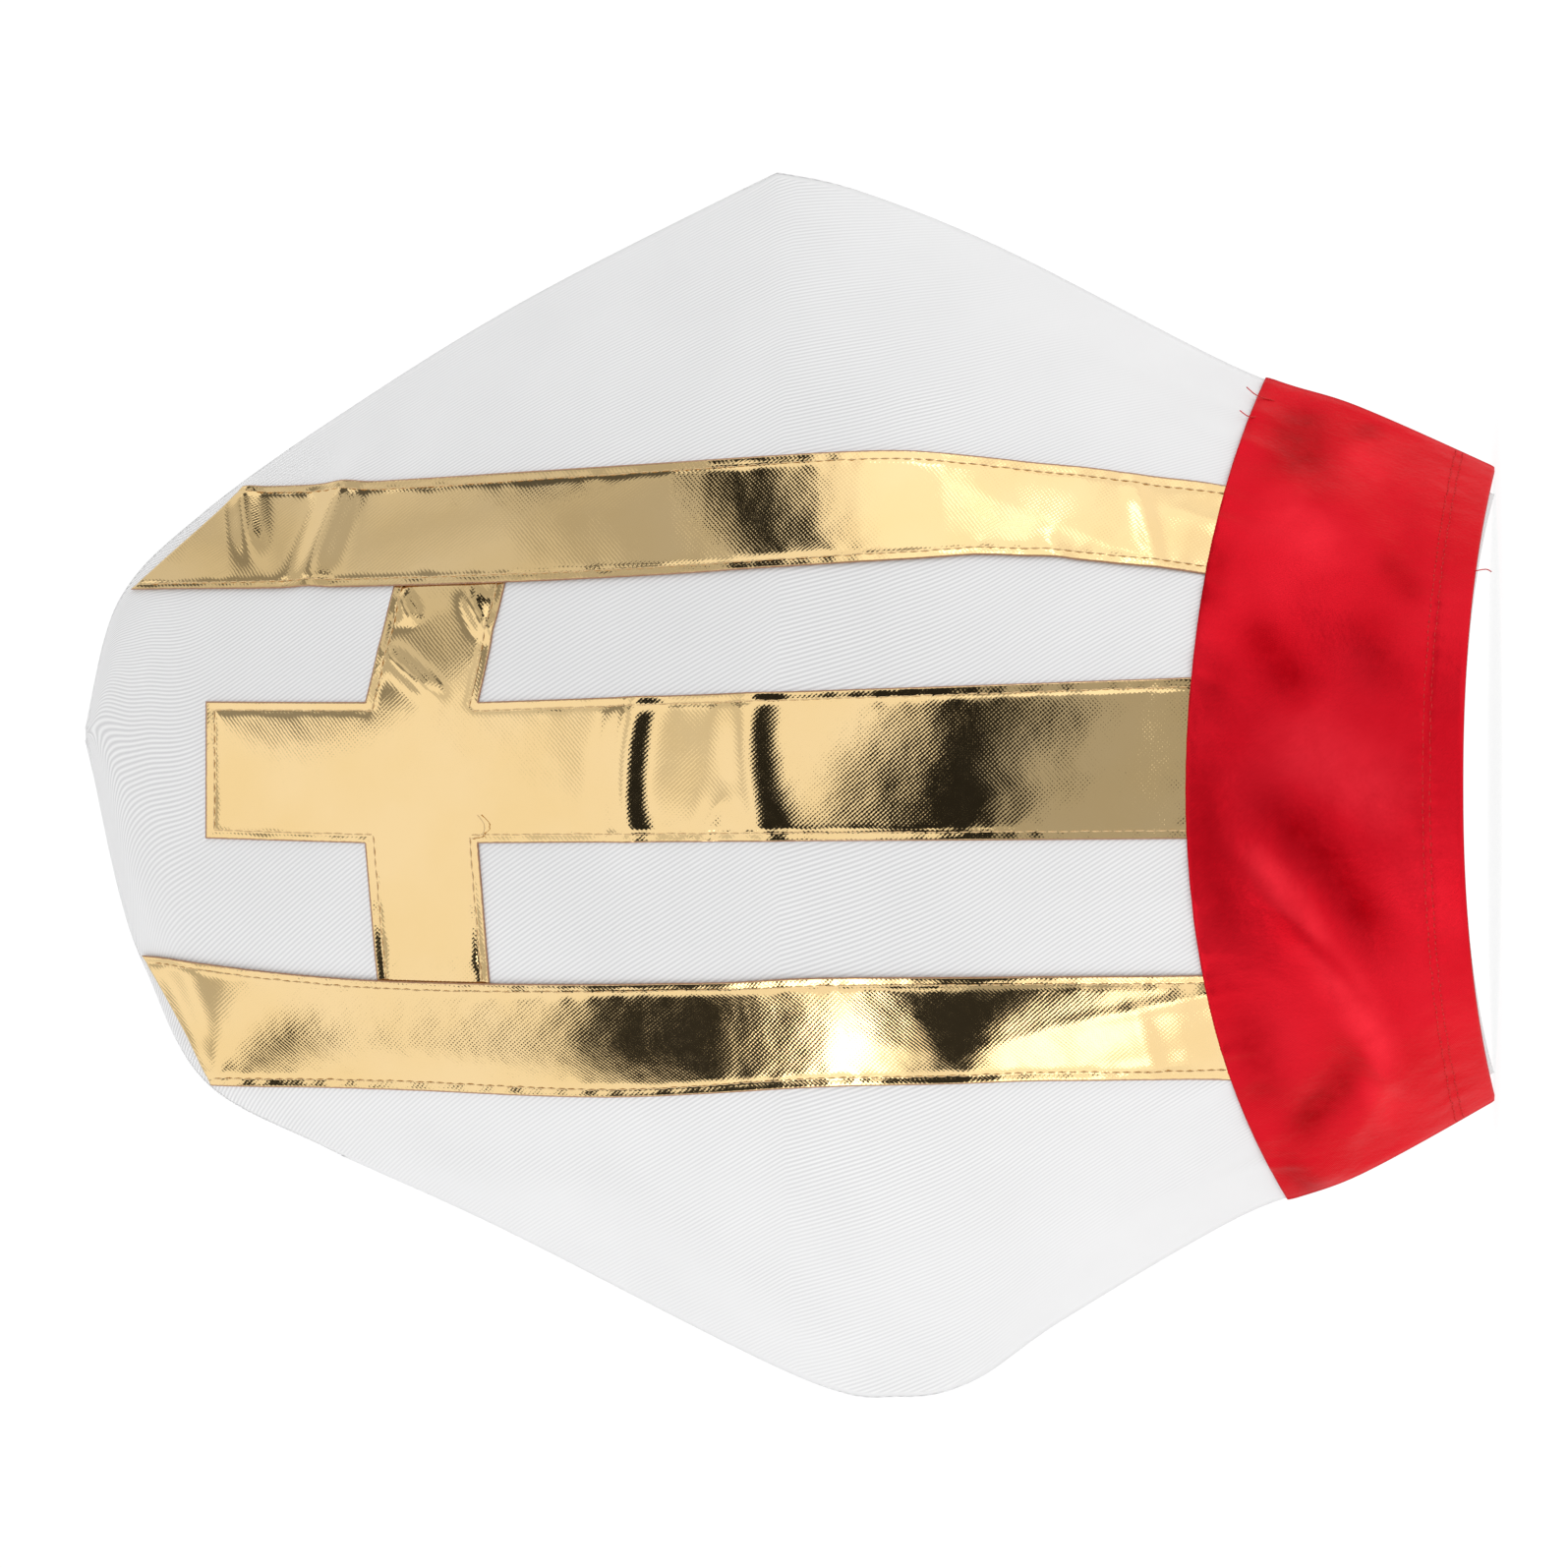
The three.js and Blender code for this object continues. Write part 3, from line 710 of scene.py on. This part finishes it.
def thread_material(name, dark, light):
    """Sewing thread, with its twist and with uneven colour."""
    material, net, shader, cloth = cloth_material(name, {"Roughness": 0.6, "Specular IOR Level": 0.2})
    twist = net.group(TWILL, Cloth=cloth, Pitch=TWIST_PITCH, Slant=math.radians(55))
    fuzz = net.noise(cloth, 0.6, 2.0)
    net.feed(shader.inputs["Base Color"], net.mix_colour(fuzz, dark, light))
    net.feed(shader.inputs["Normal"], net.bump(twist["Height"], 0.6, 0.05 * MM))
    return material


WHITE, GOLD, RED = white_twill(), gold_foil(), red_satin()
LINING, FOAM = lining_cloth(), foam_core()
TAN_THREAD = thread_material("tan_thread", TAN_DEEP, TAN_PALE)
RED_THREAD = thread_material("red_thread", RED_DEEP, RED_PALE)


# ---- Shell, foam and lining ----

def face_places(facing, start, depth=0.0, columns=190, rows=240):
    """A grid of places over a face, as x, z and the height above the rim.

    start is the first row's height above the rim. The rows are closer together towards the tip. depth
    moves the edges in, so that front and back do not cross.
    """
    share = np.linspace(-1, 1, columns)[None, :]
    even = np.linspace(0, 1, rows)[:, None]
    climb = TIP_EVENNESS * even + (1 - TIP_EVENNESS) * np.sin(even * math.pi / 2)
    inset = depth * EDGE_INSET_PER_DEPTH
    low = hem_height(share, facing) + start
    z = low + (HEIGHT - TIP_FLAT - low) * climb * (1 - inset / HEIGHT)
    x = at_height(MIDDLE_X, z) + share * np.maximum(at_height(HALF_X, z) - inset, 1)
    return x, z, z - hem_height(share, facing)


def build_face(word, facing):
    """One face's white shell, the foam that stiffens it, and its lining."""
    x, z, _ = face_places(facing, SHELL_START)
    shell = on_dome(x, z, body_relief(x, z, facing), facing)
    piece = cloth_sheet(f"{word}_shell_cloth", shell, SHELL_THICK, facing)
    keep(piece, f"{word}_shell", WHITE)
    declare_sheet(shell)

    inside = SHELL_THICK + FOAM_THICK
    x, z, _ = face_places(facing, FOAM_START, inside + 1, 120, 150)
    foam_lift = body_relief(x, z, facing) - SHELL_THICK - FOAM_GAP
    foam = on_dome(x, z, foam_lift, facing)
    piece = cloth_sheet(f"{word}_foam_core", foam, FOAM_THICK, facing)
    keep(piece, f"{word}_foam", FOAM)

    # The lining lies under the foam, and comes out to the shell where the foam ends at the rim.
    x, z, above_rim = face_places(facing, LINING_START, inside + 2, 120, 150)
    deep = inside + 2 * FOAM_GAP
    lining_depth = LINING_RIM_DEPTH + (deep - LINING_RIM_DEPTH) * smoothstep(6, 24, above_rim)
    lining = on_dome(x, z, body_relief(x, z, facing) - lining_depth, facing)
    piece = cloth_sheet(f"{word}_lining_cloth", lining, LINING_THICK, facing)
    keep(piece, f"{word}_lining", LINING)
    declare_sheet(lining)


# ---- Red band ----

# The satin near its hem stitches and its top seam: heights and reaches of its relief.
HEM_DIP, HEM_DIP_REACH = 0.35, 1.6
HEM_PUCKER, HEM_PUCKER_REACH = 0.22, 5
SEAM_GATHER, SEAM_GATHER_REACH = 0.18, 5


def band_relief(x, z, share, facing):
    """The satin's own waves, the dip and puckers along its hem stitches, and its gathered top seam."""
    relief = waves(x, z, seed=21 + facing, length=46, height=0.4)
    relief += waves(x, z, seed=31 + facing, length=17, height=0.12)
    above_rim = z - hem_height(share, facing)
    below_seam = band_top(share) - z
    relief = relief * smoothstep(7, 18, above_rim) * smoothstep(0, 9, below_seam)
    from_stitches = above_rim - HEM_ROWS_MIDDLE
    relief -= HEM_DIP * np.exp(-((from_stitches / HEM_DIP_REACH) ** 2))
    ripple = np.sin(share * 71 + 2 * np.sin(share * 13)) * np.sin(share * 37 + 1)
    relief += HEM_PUCKER * ripple * np.exp(-((from_stitches / HEM_PUCKER_REACH) ** 2))
    gather = np.sin(share * 93 + 3 * np.sin(share * 11))
    relief += SEAM_GATHER * gather * np.exp(-below_seam / SEAM_GATHER_REACH)
    return relief * smoothstep(1.0, 0.96, np.abs(share))


def band_points(facing, columns=330, rows=120):
    """The band's outer side, as a grid from the rim to the top seam."""
    share = np.linspace(-1, 1, columns)[None, :]
    hem, top = hem_height(share, facing), band_top(share)
    climb = np.linspace(0, 1, rows)[:, None]
    z = hem + (top - hem) * climb
    x = place_at_share(share, z)
    above, below = z - hem, top - z
    # The top edge is turned under, so it rolls down to the white cloth, and so does the rim's fold.
    lift = BAND_EDGE_LIFT + (BAND_LIFT - BAND_EDGE_LIFT) * np.sqrt(np.clip(below / TOP_ROLL_REACH, 0, 1))
    lift = lift - RIM_ROLL * (1 - np.sqrt(np.clip(above / RIM_ROLL_REACH, 0, 1)))
    relief = band_relief(x, z, share, facing) + body_relief(x, z, facing)
    points = on_dome(x, z, BAND_GAP + lift + relief, facing)
    # The front and back bands meet along the side seams.
    points[..., 1] *= smoothstep(1.0, 0.985, np.abs(share))
    return points


def satin_painted_light(piece, facing):
    """Painted shade (above 0) and painted highlight (below 0) on the satin at each of the piece's points,
    from -1 to 1.
    """
    place = np.empty(len(piece.data.vertices) * 3)
    piece.data.vertices.foreach_get("co", place)
    x, z = place[0::3] / MM, place[2::3] / MM
    return np.clip(folds(x if facing == FRONT else -x, z, BAND_PAINTED_LIGHT), -1, 1)


def build_band(word, facing):
    """The red band over one face."""
    points = band_points(facing)
    piece = cloth_sheet(f"{word}_band_satin", points, BAND_THICK, facing)
    # Stores the painted shade and painted highlight for the satin's colour.
    store_value(piece, "painted_shade_and_highlight", satin_painted_light(piece, facing))
    keep(piece, f"{word}_band", RED)
    declare_sheet(points)


# ---- Gold trim ----

STRIPES = {
    "right": {
        "outer": [(80, 69), (88.5, 140), (90, 181), (84, 275), (81, 343)],
        "inner": [(55.8, 74), (61.8, 132), (60.5, 167), (54.5, 270), (53, 374)],
    },
    "left": {
        "outer": [(-80, 67), (-81.5, 167), (-85, 238), (-83.5, 302), (-82.5, 352)],
        "inner": [(-52, 73), (-52.5, 178), (-54, 221), (-53.5, 308), (-47, 371)],
    },
}


# The foil along its stitches: heights and reaches of its relief.
FOIL_DIP, FOIL_DIP_REACH = 0.22, 0.7
FOIL_PUCKER, FOIL_PUCKER_REACH = 0.06, 2.2
MARGIN_CURL, MARGIN_REACH = 0.1, 1.6
MARGIN_WAVES = 0.35


def foil_relief(x, z, edge_distance):
    """Small waves, and near an edge the dip along its stitches with the lifted margin outside it."""
    relief = waves(x, z, seed=41, length=34, height=0.07) + waves(x, z, seed=43, length=13, height=0.014)
    inside = smoothstep(0, 5, edge_distance)
    from_stitches = edge_distance - STITCH_INSET
    dip = FOIL_DIP * np.exp(-((from_stitches / FOIL_DIP_REACH) ** 2))
    pucker = waves(x, z, seed=47, length=6, height=FOIL_PUCKER)
    pucker = pucker * np.exp(-((from_stitches / FOIL_PUCKER_REACH) ** 2))
    curl = MARGIN_CURL * smoothstep(MARGIN_REACH, 0, edge_distance)
    return relief * (MARGIN_WAVES + (1 - MARGIN_WAVES) * inside) - dip + pucker + curl


def stripe_place(name, across, along):
    """Place on a stripe: across from its outer edge (0) to its inner edge (1), along from the band up."""
    outer, inner = (smooth_line(STRIPES[name][side], 200) for side in ("outer", "inner"))
    steps = np.linspace(0, 1, len(outer))
    start, end = (
        np.stack([np.interp(along, steps, edge[:, i]) for i in (0, 1)], axis=-1) for edge in (outer, inner)
    )
    return start + (end - start) * np.asarray(across)[..., None]


def edge_close_steps(width, inner_count):
    """Shares across a strip, close together near both edges, where the stitches and the dips are."""
    width = np.asarray(width, float)[..., None]
    near = np.array(EDGE_LINES) / width
    inner = near[..., -1:] + (1 - 2 * near[..., -1:]) * np.linspace(0, 1, inner_count + 2)[1:-1]
    return np.concatenate([near, inner, 1 - near[..., ::-1]], axis=-1)


def trim_points(x, z, edge_distance, tuck):
    """The outer side of foil that lies on the front. tuck is how far it is pressed down."""
    lift = GOLD_LIFT + body_relief(x, z, FRONT) + foil_relief(x, z, edge_distance) - tuck
    return on_dome(x, z, lift, FRONT)


def stripe_tuck(x, z):
    """The stripes pass over the cross's arms, and their lower ends go down under the band."""
    above_band = z - band_top(share_of(x, z))
    return -STRIPE_OVER_ARMS * smoothstep(-2, 10, above_band)


def arm_tuck(x):
    """The cross's arms are pressed down a little where they pass under the stripes."""
    return ARM_TUCK * smoothstep(46, 51, np.abs(x))


def build_stripe(name):
    """One gold stripe, from under the band up to the seam edge."""
    rows = 330
    along = np.linspace(0, 1, rows)[:, None]
    outer, inner = (stripe_place(name, np.full(rows, side), along[:, 0]) for side in (0.0, 1.0))
    width = np.linalg.norm(outer - inner, axis=-1)
    across = edge_close_steps(width, 16)
    place = stripe_place(name, across, along + 0 * across)
    x, z = place[..., 0], place[..., 1]
    edge_distance = np.minimum(across, 1 - across) * width[:, None]
    points = trim_points(x, z, edge_distance, stripe_tuck(x, z))
    # A grid's columns run towards +X, and the right stripe's outer edge is its +X edge.
    if name == "right":
        points, edge_distance = points[:, ::-1], edge_distance[:, ::-1]
    piece = cloth_sheet(f"{name}_stripe_foil", points, GOLD_THICK, FRONT)
    store_value(piece, "edge_distance", edge_distance)
    keep(piece, f"{name}_stripe", GOLD)
    declare_sheet(points)


# The cross is a grid of blocks: arm, upright and arm across, and shaft, arms and top up. The upright
# leans and widens a little towards its foot, and the arms droop towards their ends.
CROSS_UPRIGHT = [(-15, 28.7), (-16.2, 22.2), (-16.2, 22.2), (-15, 22.5)]
CROSS_BOTTOM, CROSS_TOP = 82.0, 353.4
CROSS_ARM_LOW = (275.0, 278.3, 278.3, 270.0)
CROSS_ARM_HIGH = (306.0, 309.2, 309.2, 300.5)
CROSS_ARM_ENDS = (-57.0, 58.0)
BLOCK_LINES = range(4)


def cross_place(column, row):
    """Place on the cross for block coordinates: column 0-1-2-3 over arm, upright, arm; row 0-1-2-3 up."""
    column, row = np.broadcast_arrays(np.asarray(column, float), np.asarray(row, float))
    across = column - np.clip(np.floor(column), 0, 2)
    up = row - np.clip(np.floor(row), 0, 2)
    left, right = (np.interp(row, BLOCK_LINES, [span[side] for span in CROSS_UPRIGHT]) for side in (0, 1))
    left_end, right_end = CROSS_ARM_ENDS
    x = np.where(column < 1, left_end + (left - left_end) * across, left + (right - left) * across)
    x = np.where(column >= 2, right + (right_end - right) * across, x)
    low, high = (np.interp(column, BLOCK_LINES, heights) for heights in (CROSS_ARM_LOW, CROSS_ARM_HIGH))
    z = np.where(row < 1, CROSS_BOTTOM + (low - CROSS_BOTTOM) * up, low + (high - low) * up)
    z = np.where(row >= 2, high + (CROSS_TOP - high) * up, z)
    return x, z


# The cross's visible sides, in block coordinates, with the way each one turns at its start and its
# end: 1 at an outer corner, -1 at a notch, 0 where it goes under a stripe or the band.
CROSS_SIDES = {
    ((2, 0), (2, 1)): (0, -1), ((2, 1), (3, 1)): (-1, 0), ((3, 2), (2, 2)): (0, -1),
    ((2, 2), (2, 3)): (-1, 1), ((2, 3), (1, 3)): (1, 1), ((1, 3), (1, 2)): (1, -1),
    ((1, 2), (0, 2)): (-1, 0), ((0, 1), (1, 1)): (0, -1), ((1, 1), (1, 0)): (-1, 0),
}


def distance_to_sides(x, z, sides):
    """Distance of each place from the nearest of some straight lines."""
    best = np.full(np.broadcast(x, z).shape, np.inf)
    for start, end in sides:
        along = end - start
        t = np.clip(((x - start[0]) * along[0] + (z - start[1]) * along[1]) / (along @ along), 0, 1)
        best = np.minimum(best, np.hypot(x - start[0] - along[0] * t, z - start[1] - along[1] * t))
    return best


def block_steps(sizes, inner_counts):
    """Grid lines over three blocks in a row, close together near the blocks' edges."""
    blocks = [edge_close_steps(size, count)[:-1] for size, count in zip(sizes, inner_counts)]
    steps = [i + block for i, block in enumerate(blocks)]
    return np.append(np.concatenate(steps), len(blocks))


def build_cross():
    """The gold cross, cut in one piece."""
    column = block_steps(sizes=(40, 39, 36), inner_counts=(22, 24, 20))
    row = block_steps(sizes=(CROSS_ARM_LOW[1] - CROSS_BOTTOM, 31, 44), inner_counts=(170, 16, 26))
    x, z = cross_place(column[None, :], row[:, None])
    cell_column, cell_row = column[:-1][None, :], row[:-1][:, None]
    in_upright = (cell_column >= 1) & (cell_column < 2)
    in_arms = (cell_row >= 1) & (cell_row < 2)
    ends = [[np.array(cross_place(*corner)) for corner in side] for side in CROSS_SIDES]
    distance = distance_to_sides(x, z, ends)
    points = trim_points(x, z, distance, arm_tuck(x))
    present = in_upright | in_arms
    piece = cloth_sheet("cross_foil", points, GOLD_THICK, FRONT, present)
    used = np.zeros(x.shape, bool)
    rows, columns = present.shape
    for down, right in ((0, 0), (0, 1), (1, 0), (1, 1)):
        used[down:down + rows, right:right + columns] |= present
    store_value(piece, "edge_distance", distance[used])
    keep(piece, "cross_applique", GOLD)
    declare_sheet(points, present)


# ---- Stitches ----

def tube(centres, radii, out, sides=STRAND_SIDES):
    """A round strand along a line of centres, as (points, faces)."""
    along = np.gradient(centres, axis=0)
    side = np.cross(along, out)
    side /= np.linalg.norm(side, axis=1)[:, None]
    turn = np.linspace(0, 2 * math.pi, sides, endpoint=False)[None, :, None]
    ring = np.cos(turn) * side[:, None, :] + np.sin(turn) * out
    points = centres[:, None, :] + ring * np.asarray(radii)[:, None, None]
    rings = len(centres)
    last_ring = sides * (rings - 1)
    faces = []
    for ring_start in range(0, last_ring, sides):
        next_start = ring_start + sides
        for here in range(sides):
            there = (here + 1) % sides
            faces.append([ring_start + here, next_start + here, next_start + there, ring_start + there])
    faces.append(list(range(sides)))
    faces.append(list(range(sides * rings - 1, last_ring - 1, -1)))
    return points.reshape(-1, 3), faces


def strand_places(lengths):
    """Places on the thread's own surface, along it and round it, for its twist."""
    turns = np.arange(STRAND_SIDES) * STRAND_SIDE_WIDTH
    return np.stack(np.meshgrid(lengths, turns, indexing="ij"), -1).reshape(-1, 2)


def joined(strands):
    """Several (points, faces, places) as one."""
    starts = np.cumsum([0] + [len(strand[0]) for strand in strands])
    faces = [[start + i for i in face] for start, strand in zip(starts, strands) for face in strand[1]]
    return np.concatenate([s[0] for s in strands]), faces, np.concatenate([s[2] for s in strands])


def stitched_line(points, normals, radius, pitch, gap, wander, seed):
    """Stitches along a line of points: short strands that rise out of the cloth and dip back into it.

    gap is the share of the pitch between two stitches, and wander how far they stray sideways.
    """
    rng = np.random.default_rng(seed)
    length = np.concatenate([[0], np.cumsum(np.linalg.norm(np.diff(points, axis=0), axis=1))])
    count = max(int(length[-1] / pitch), 1)
    share = np.linspace(0, 1, 5)
    arch = np.sin(share * math.pi)
    strands = []

    def at(distance, table):
        """A table of vectors at a distance along the line."""
        return np.array([np.interp(distance, length, table[:, i]) for i in range(3)])

    for i in range(count):
        begin = (i + gap / 2 + rng.uniform(-0.03, 0.03)) * length[-1] / count
        finish = (i + 1 - gap / 2 + rng.uniform(-0.03, 0.03)) * length[-1] / count
        start, end = at(begin, points), at(finish, points)
        out = at((begin + finish) / 2, normals)
        out /= np.linalg.norm(out)
        side = np.cross(end - start, out)
        shift = side / np.linalg.norm(side) * rng.uniform(-wander, wander)
        # The ends dip into the cloth and are thinner than the middle.
        rise = (arch * 1.5 - 0.6) * radius
        centres = start + shift + share[:, None] * (end - start) + rise[:, None] * out
        strand_points, faces = tube(centres, radius * (0.55 + 0.45 * arch), out)
        strands.append((strand_points, faces, strand_places(np.linspace(begin, finish, len(share)))))
    return joined(strands)


def loose_end(places, lifts, radius):
    """A thread's free end on the front, through places in the XZ plane at heights over the dome."""
    bends = smooth_line(np.column_stack([places, lifts]), 16)
    centres = on_dome(bends[:, 0], bends[:, 1], bends[:, 2], FRONT)
    out = dome_normal(bends[:1, 0], bends[:1, 1], FRONT)[0]
    points, faces = tube(centres, np.full(len(centres), radius), out)
    return points, faces, strand_places(np.arange(len(centres)) * 0.5)


def stitches_piece(name, lines, material, node):
    """One object from several stitched lines."""
    piece = add_mesh(name, *joined(lines))
    return keep(piece, node, material)


def gold_stitches(x, z, tuck, seed):
    """A stitched line on the foil, over a line of places in the XZ plane."""
    normals = dome_normal(x, z, FRONT)
    points = trim_points(x, z, np.full(len(x), STITCH_INSET), tuck) + normals * THREAD_LIFT
    style = (GOLD_STITCH_PITCH, GOLD_STITCH_GAP, GOLD_STITCH_WANDER)
    return stitched_line(points, normals, THREAD_RADIUS, *style, seed)


def build_stripe_stitches(name):
    """The stitches along both edges of a stripe."""
    first_seed = {"left": 7, "right": 3}[name]
    # The stitches stop a little short of the stripe's ends.
    along = np.linspace(0.028, 0.985, 300)
    middle = stripe_place(name, np.full(len(along), 0.5), along)
    lines = []
    for side in (0, 1):
        edge = stripe_place(name, np.full(len(along), float(side)), along)
        towards = (middle - edge) / np.linalg.norm(middle - edge, axis=1)[:, None]
        x, z = (edge + towards * STITCH_INSET).T
        lines.append(gold_stitches(x, z, stripe_tuck(x, z), first_seed + side))
    stitches_piece(f"{name}_stripe_thread", lines, TAN_THREAD, f"{name}_stripe_stitches")


def inset_side(start, end, start_turn, end_turn, step=2.0):
    """Places along a side of the cross moved inwards, shortened at outer corners, lengthened at notches."""
    along = (end - start) / np.linalg.norm(end - start)
    inwards = np.array([-along[1], along[0]])
    start = start + (along * start_turn + inwards) * STITCH_INSET
    end = end + (inwards - along * end_turn) * STITCH_INSET
    count = max(int(np.linalg.norm(end - start) / step), 2)
    return np.linspace(start, end, count)


def build_cross_stitches():
    """The stitches along the cross's visible sides."""
    lines = []
    for seed, ((first, last), turns) in enumerate(CROSS_SIDES.items(), start=20):
        start, end = np.array(cross_place(*first)), np.array(cross_place(*last))
        x, z = inset_side(start, end, *turns).T
        lines.append(gold_stitches(x, z, arm_tuck(x), seed))
    # A tail left where the thread was cut, at the notch under one arm.
    tail = [(-15, 280), (-13.5, 276.5), (-11, 276), (-8.5, 278)]
    lines.append(loose_end(tail, lifts=(0.8, 2.0, 2.2, 1.6), radius=0.13))
    stitches_piece("cross_thread", lines, TAN_THREAD, "cross_stitches")


# Red threads left uncut: two over the band's top seam and one under its hem.
RED_ENDS = [
    [(104, 61), (105, 66), (107, 69)],
    [(100, 64), (99, 68), (100.5, 71)],
    [(57, 7), (57, 4), (56, 2.5)],
]


def build_hem_stitches(index):
    """One row of stitches round the whole rim. The first row also has the loose ends."""
    lines = []
    for facing in (FRONT, BACK):
        share = np.linspace(-0.995, 0.995, 500)
        z = hem_height(share, facing) + HEM_ROWS[index]
        x = place_at_share(share, z)
        relief = band_relief(x, z, share, facing) + body_relief(x, z, facing)
        points = on_dome(x, z, BAND_GAP + BAND_LIFT + THREAD_LIFT + relief, facing)
        normals = dome_normal(x, z, facing)
        style = (HEM_STITCH_PITCH, HEM_STITCH_GAP, HEM_STITCH_WANDER)
        lines.append(stitched_line(points, normals, HEM_THREAD_RADIUS, *style, 50 + index))
    if index == 0:
        lines += [loose_end(places, lifts=(1.2, 1.8, 2.2), radius=0.16) for places in RED_ENDS]
    number = index + 1
    stitches_piece(f"hem_thread_{number}", lines, RED_THREAD, f"hem_stitches_{number}")


# ---- Studio ----

def build_floor():
    """A round pale floor under the hat."""
    sides, radius = 128, 330
    turn = np.linspace(0, 2 * math.pi, sides, endpoint=False)
    ring = np.stack([radius * np.cos(turn), radius * np.sin(turn), 0 * turn], axis=-1)
    floor = add_mesh("floor", ring, [list(range(sides))])
    material = bpy.data.materials.new("floor_paper")
    material.use_nodes = True
    shader = material.node_tree.nodes["Principled BSDF"]
    shader.inputs["Base Color"].default_value = FLOOR_GREY
    shader.inputs["Roughness"].default_value = 0.9
    shader.inputs["Emission Color"].default_value = PURE_WHITE
    shader.inputs["Emission Strength"].default_value = 0.85
    floor.data.materials.append(material)


# Light tent seen from the hat, as (azimuth, elevation, half width, half height, roll, level), in
# degrees. Azimuth 0 is towards the front of the hat and positive to its right. Later ones cover
# earlier ones. Levels above 1 are softboxes, low ones are the gaps between them.
TENT = [
    (0, -32, 36, 30, 0, 0.44),
    (62, -9, 27, 13, 0, 1.2),
    (60, -14, 4, 1.6, 20, 2.0),
    (70, -9, 3, 3, -30, 3.0),
    (58, 35, 24, 14, 0, 0.5),
    (60, 57, 24, 7, 0, 0.3),
    (58, 44, 26, 7, 10, 0.68),
    (70, 38, 4, 12, -10, 0.58),
    (84, 27, 12, 9, 0, 0.1),
    (30, 33, 6, 4, 0, 0.12),
    (54, 15, 13, 4.8, 4, 0.02),
    (14, 36, 15, 6, 24, 0.72),
    (-62, -18, 26, 11, 0, 1.2),
    (-58, 13, 24, 8, 0, 1.25),
    (-50, 15, 12, 4.5, 0, 3.2),
    (-53, 28.6, 14, 6.6, -4, 0.03),
    (-58, -19, 9, 3.5, 10, 2.4),
    (-44, 1, 14.5, 5.5, 41, 0.03),
    (-48, -9, 13, 7, -25, 0.03),
    (-38, 0, 6, 11, 0, 0.03),
    (2, 1.2, 24, 9, -27, 0.02),
    (18, -14, 14, 5, -12, 0.44),
    (20, 84, 40, 9, 0, 0.55),
    (180, 10, 70, 70, 0, 0.8),
]


def build_world():
    """The light tent. The camera sees plain white behind the hat."""
    world = bpy.data.worlds.new("light_tent")
    bpy.context.scene.world = world
    world.use_nodes = True
    net = NodeNet(world.node_tree)
    world.node_tree.nodes.clear()
    direction = net.node("ShaderNodeTexCoord").outputs["Generated"]
    level = net.node("ShaderNodeValue").outputs[0]
    level.default_value = 1.0
    for *card, card_level in TENT:
        mask = card_mask(net, direction, *card)
        level = net.math("MULTIPLY_ADD", mask, net.math("SUBTRACT", card_level, level), level)
    paths = net.node("ShaderNodeLightPath").outputs
    lit = net.node("ShaderNodeBackground")
    net.feed(lit.inputs["Color"], net.grey(level))
    # The tent lights cloth a quarter more strongly than it shows in the gold.
    net.feed(lit.inputs["Strength"], net.math("MULTIPLY_ADD", paths["Is Diffuse Ray"], 0.25, 1.0))
    seen = net.node("ShaderNodeBackground")
    seen.inputs["Color"].default_value = PURE_WHITE
    seen.inputs["Strength"].default_value = 1.05
    mixed = net.node("ShaderNodeMixShader")
    net.feed(mixed.inputs[0], paths["Is Camera Ray"])
    net.feed(mixed.inputs[1], lit.outputs[0])
    net.feed(mixed.inputs[2], seen.outputs[0])
    out = net.node("ShaderNodeOutputWorld")
    net.feed(out.inputs["Surface"], mixed.outputs[0])


def card_mask(net, direction, azimuth, elevation, half_width, half_height, roll, edge=1.3):
    """1 inside a rectangular card of the light tent, 0 outside, with soft edges."""
    azimuth, elevation, roll = (math.radians(angle) for angle in (azimuth, elevation, roll))
    level_share = math.cos(elevation)
    ahead_x, ahead_y = math.sin(azimuth) * level_share, -math.cos(azimuth) * level_share
    centre = Vector((ahead_x, ahead_y, math.sin(elevation)))
    right = Vector((math.cos(azimuth), math.sin(azimuth), 0))
    up = centre.cross(right)
    across = right * math.cos(roll) + up * math.sin(roll)
    upwards = up * math.cos(roll) - right * math.sin(roll)

    def dot(vector):
        """How far the direction points along a vector."""
        made = net.node("ShaderNodeVectorMath", operation="DOT_PRODUCT")
        net.feed(made.inputs[0], direction)
        made.inputs[1].default_value = vector
        return made.outputs["Value"]

    ahead = dot(centre)
    masks = []
    for axis, half in ((across, half_width), (upwards, half_height)):
        off = net.math("ABSOLUTE", net.math("ARCTAN2", dot(axis), ahead))
        masks.append(net.remap(off, math.radians(half + edge), math.radians(half - edge), 0, 1))
    return net.math("MULTIPLY", *masks)


def build_camera():
    """Level with the middle of the hat, turned on its side so that the tip points left."""
    middle_x, middle_z = -0.1, 195.1
    view_width = 430.6
    distance = 8000.0
    data = bpy.data.cameras.new("camera")
    data.sensor_width = 36
    data.lens = data.sensor_width * distance / view_width
    data.clip_end = 30
    camera = bpy.data.objects.new("camera", data)
    camera.location = Vector((middle_x, -distance, middle_z)) * MM
    camera.rotation_euler = (math.radians(90), math.radians(90), 0)
    bpy.context.scene.collection.objects.link(camera)
    bpy.context.scene.camera = camera


bpy.context.scene.view_settings.view_transform = "Standard"
build_world()
build_camera()
build_floor()
for word, facing in (("front", FRONT), ("back", BACK)):
    build_face(word, facing)
    build_band(word, facing)
for name in STRIPES:
    build_stripe(name)
    build_stripe_stitches(name)
build_cross()
build_cross_stitches()
for index in range(len(HEM_ROWS)):
    build_hem_stitches(index)
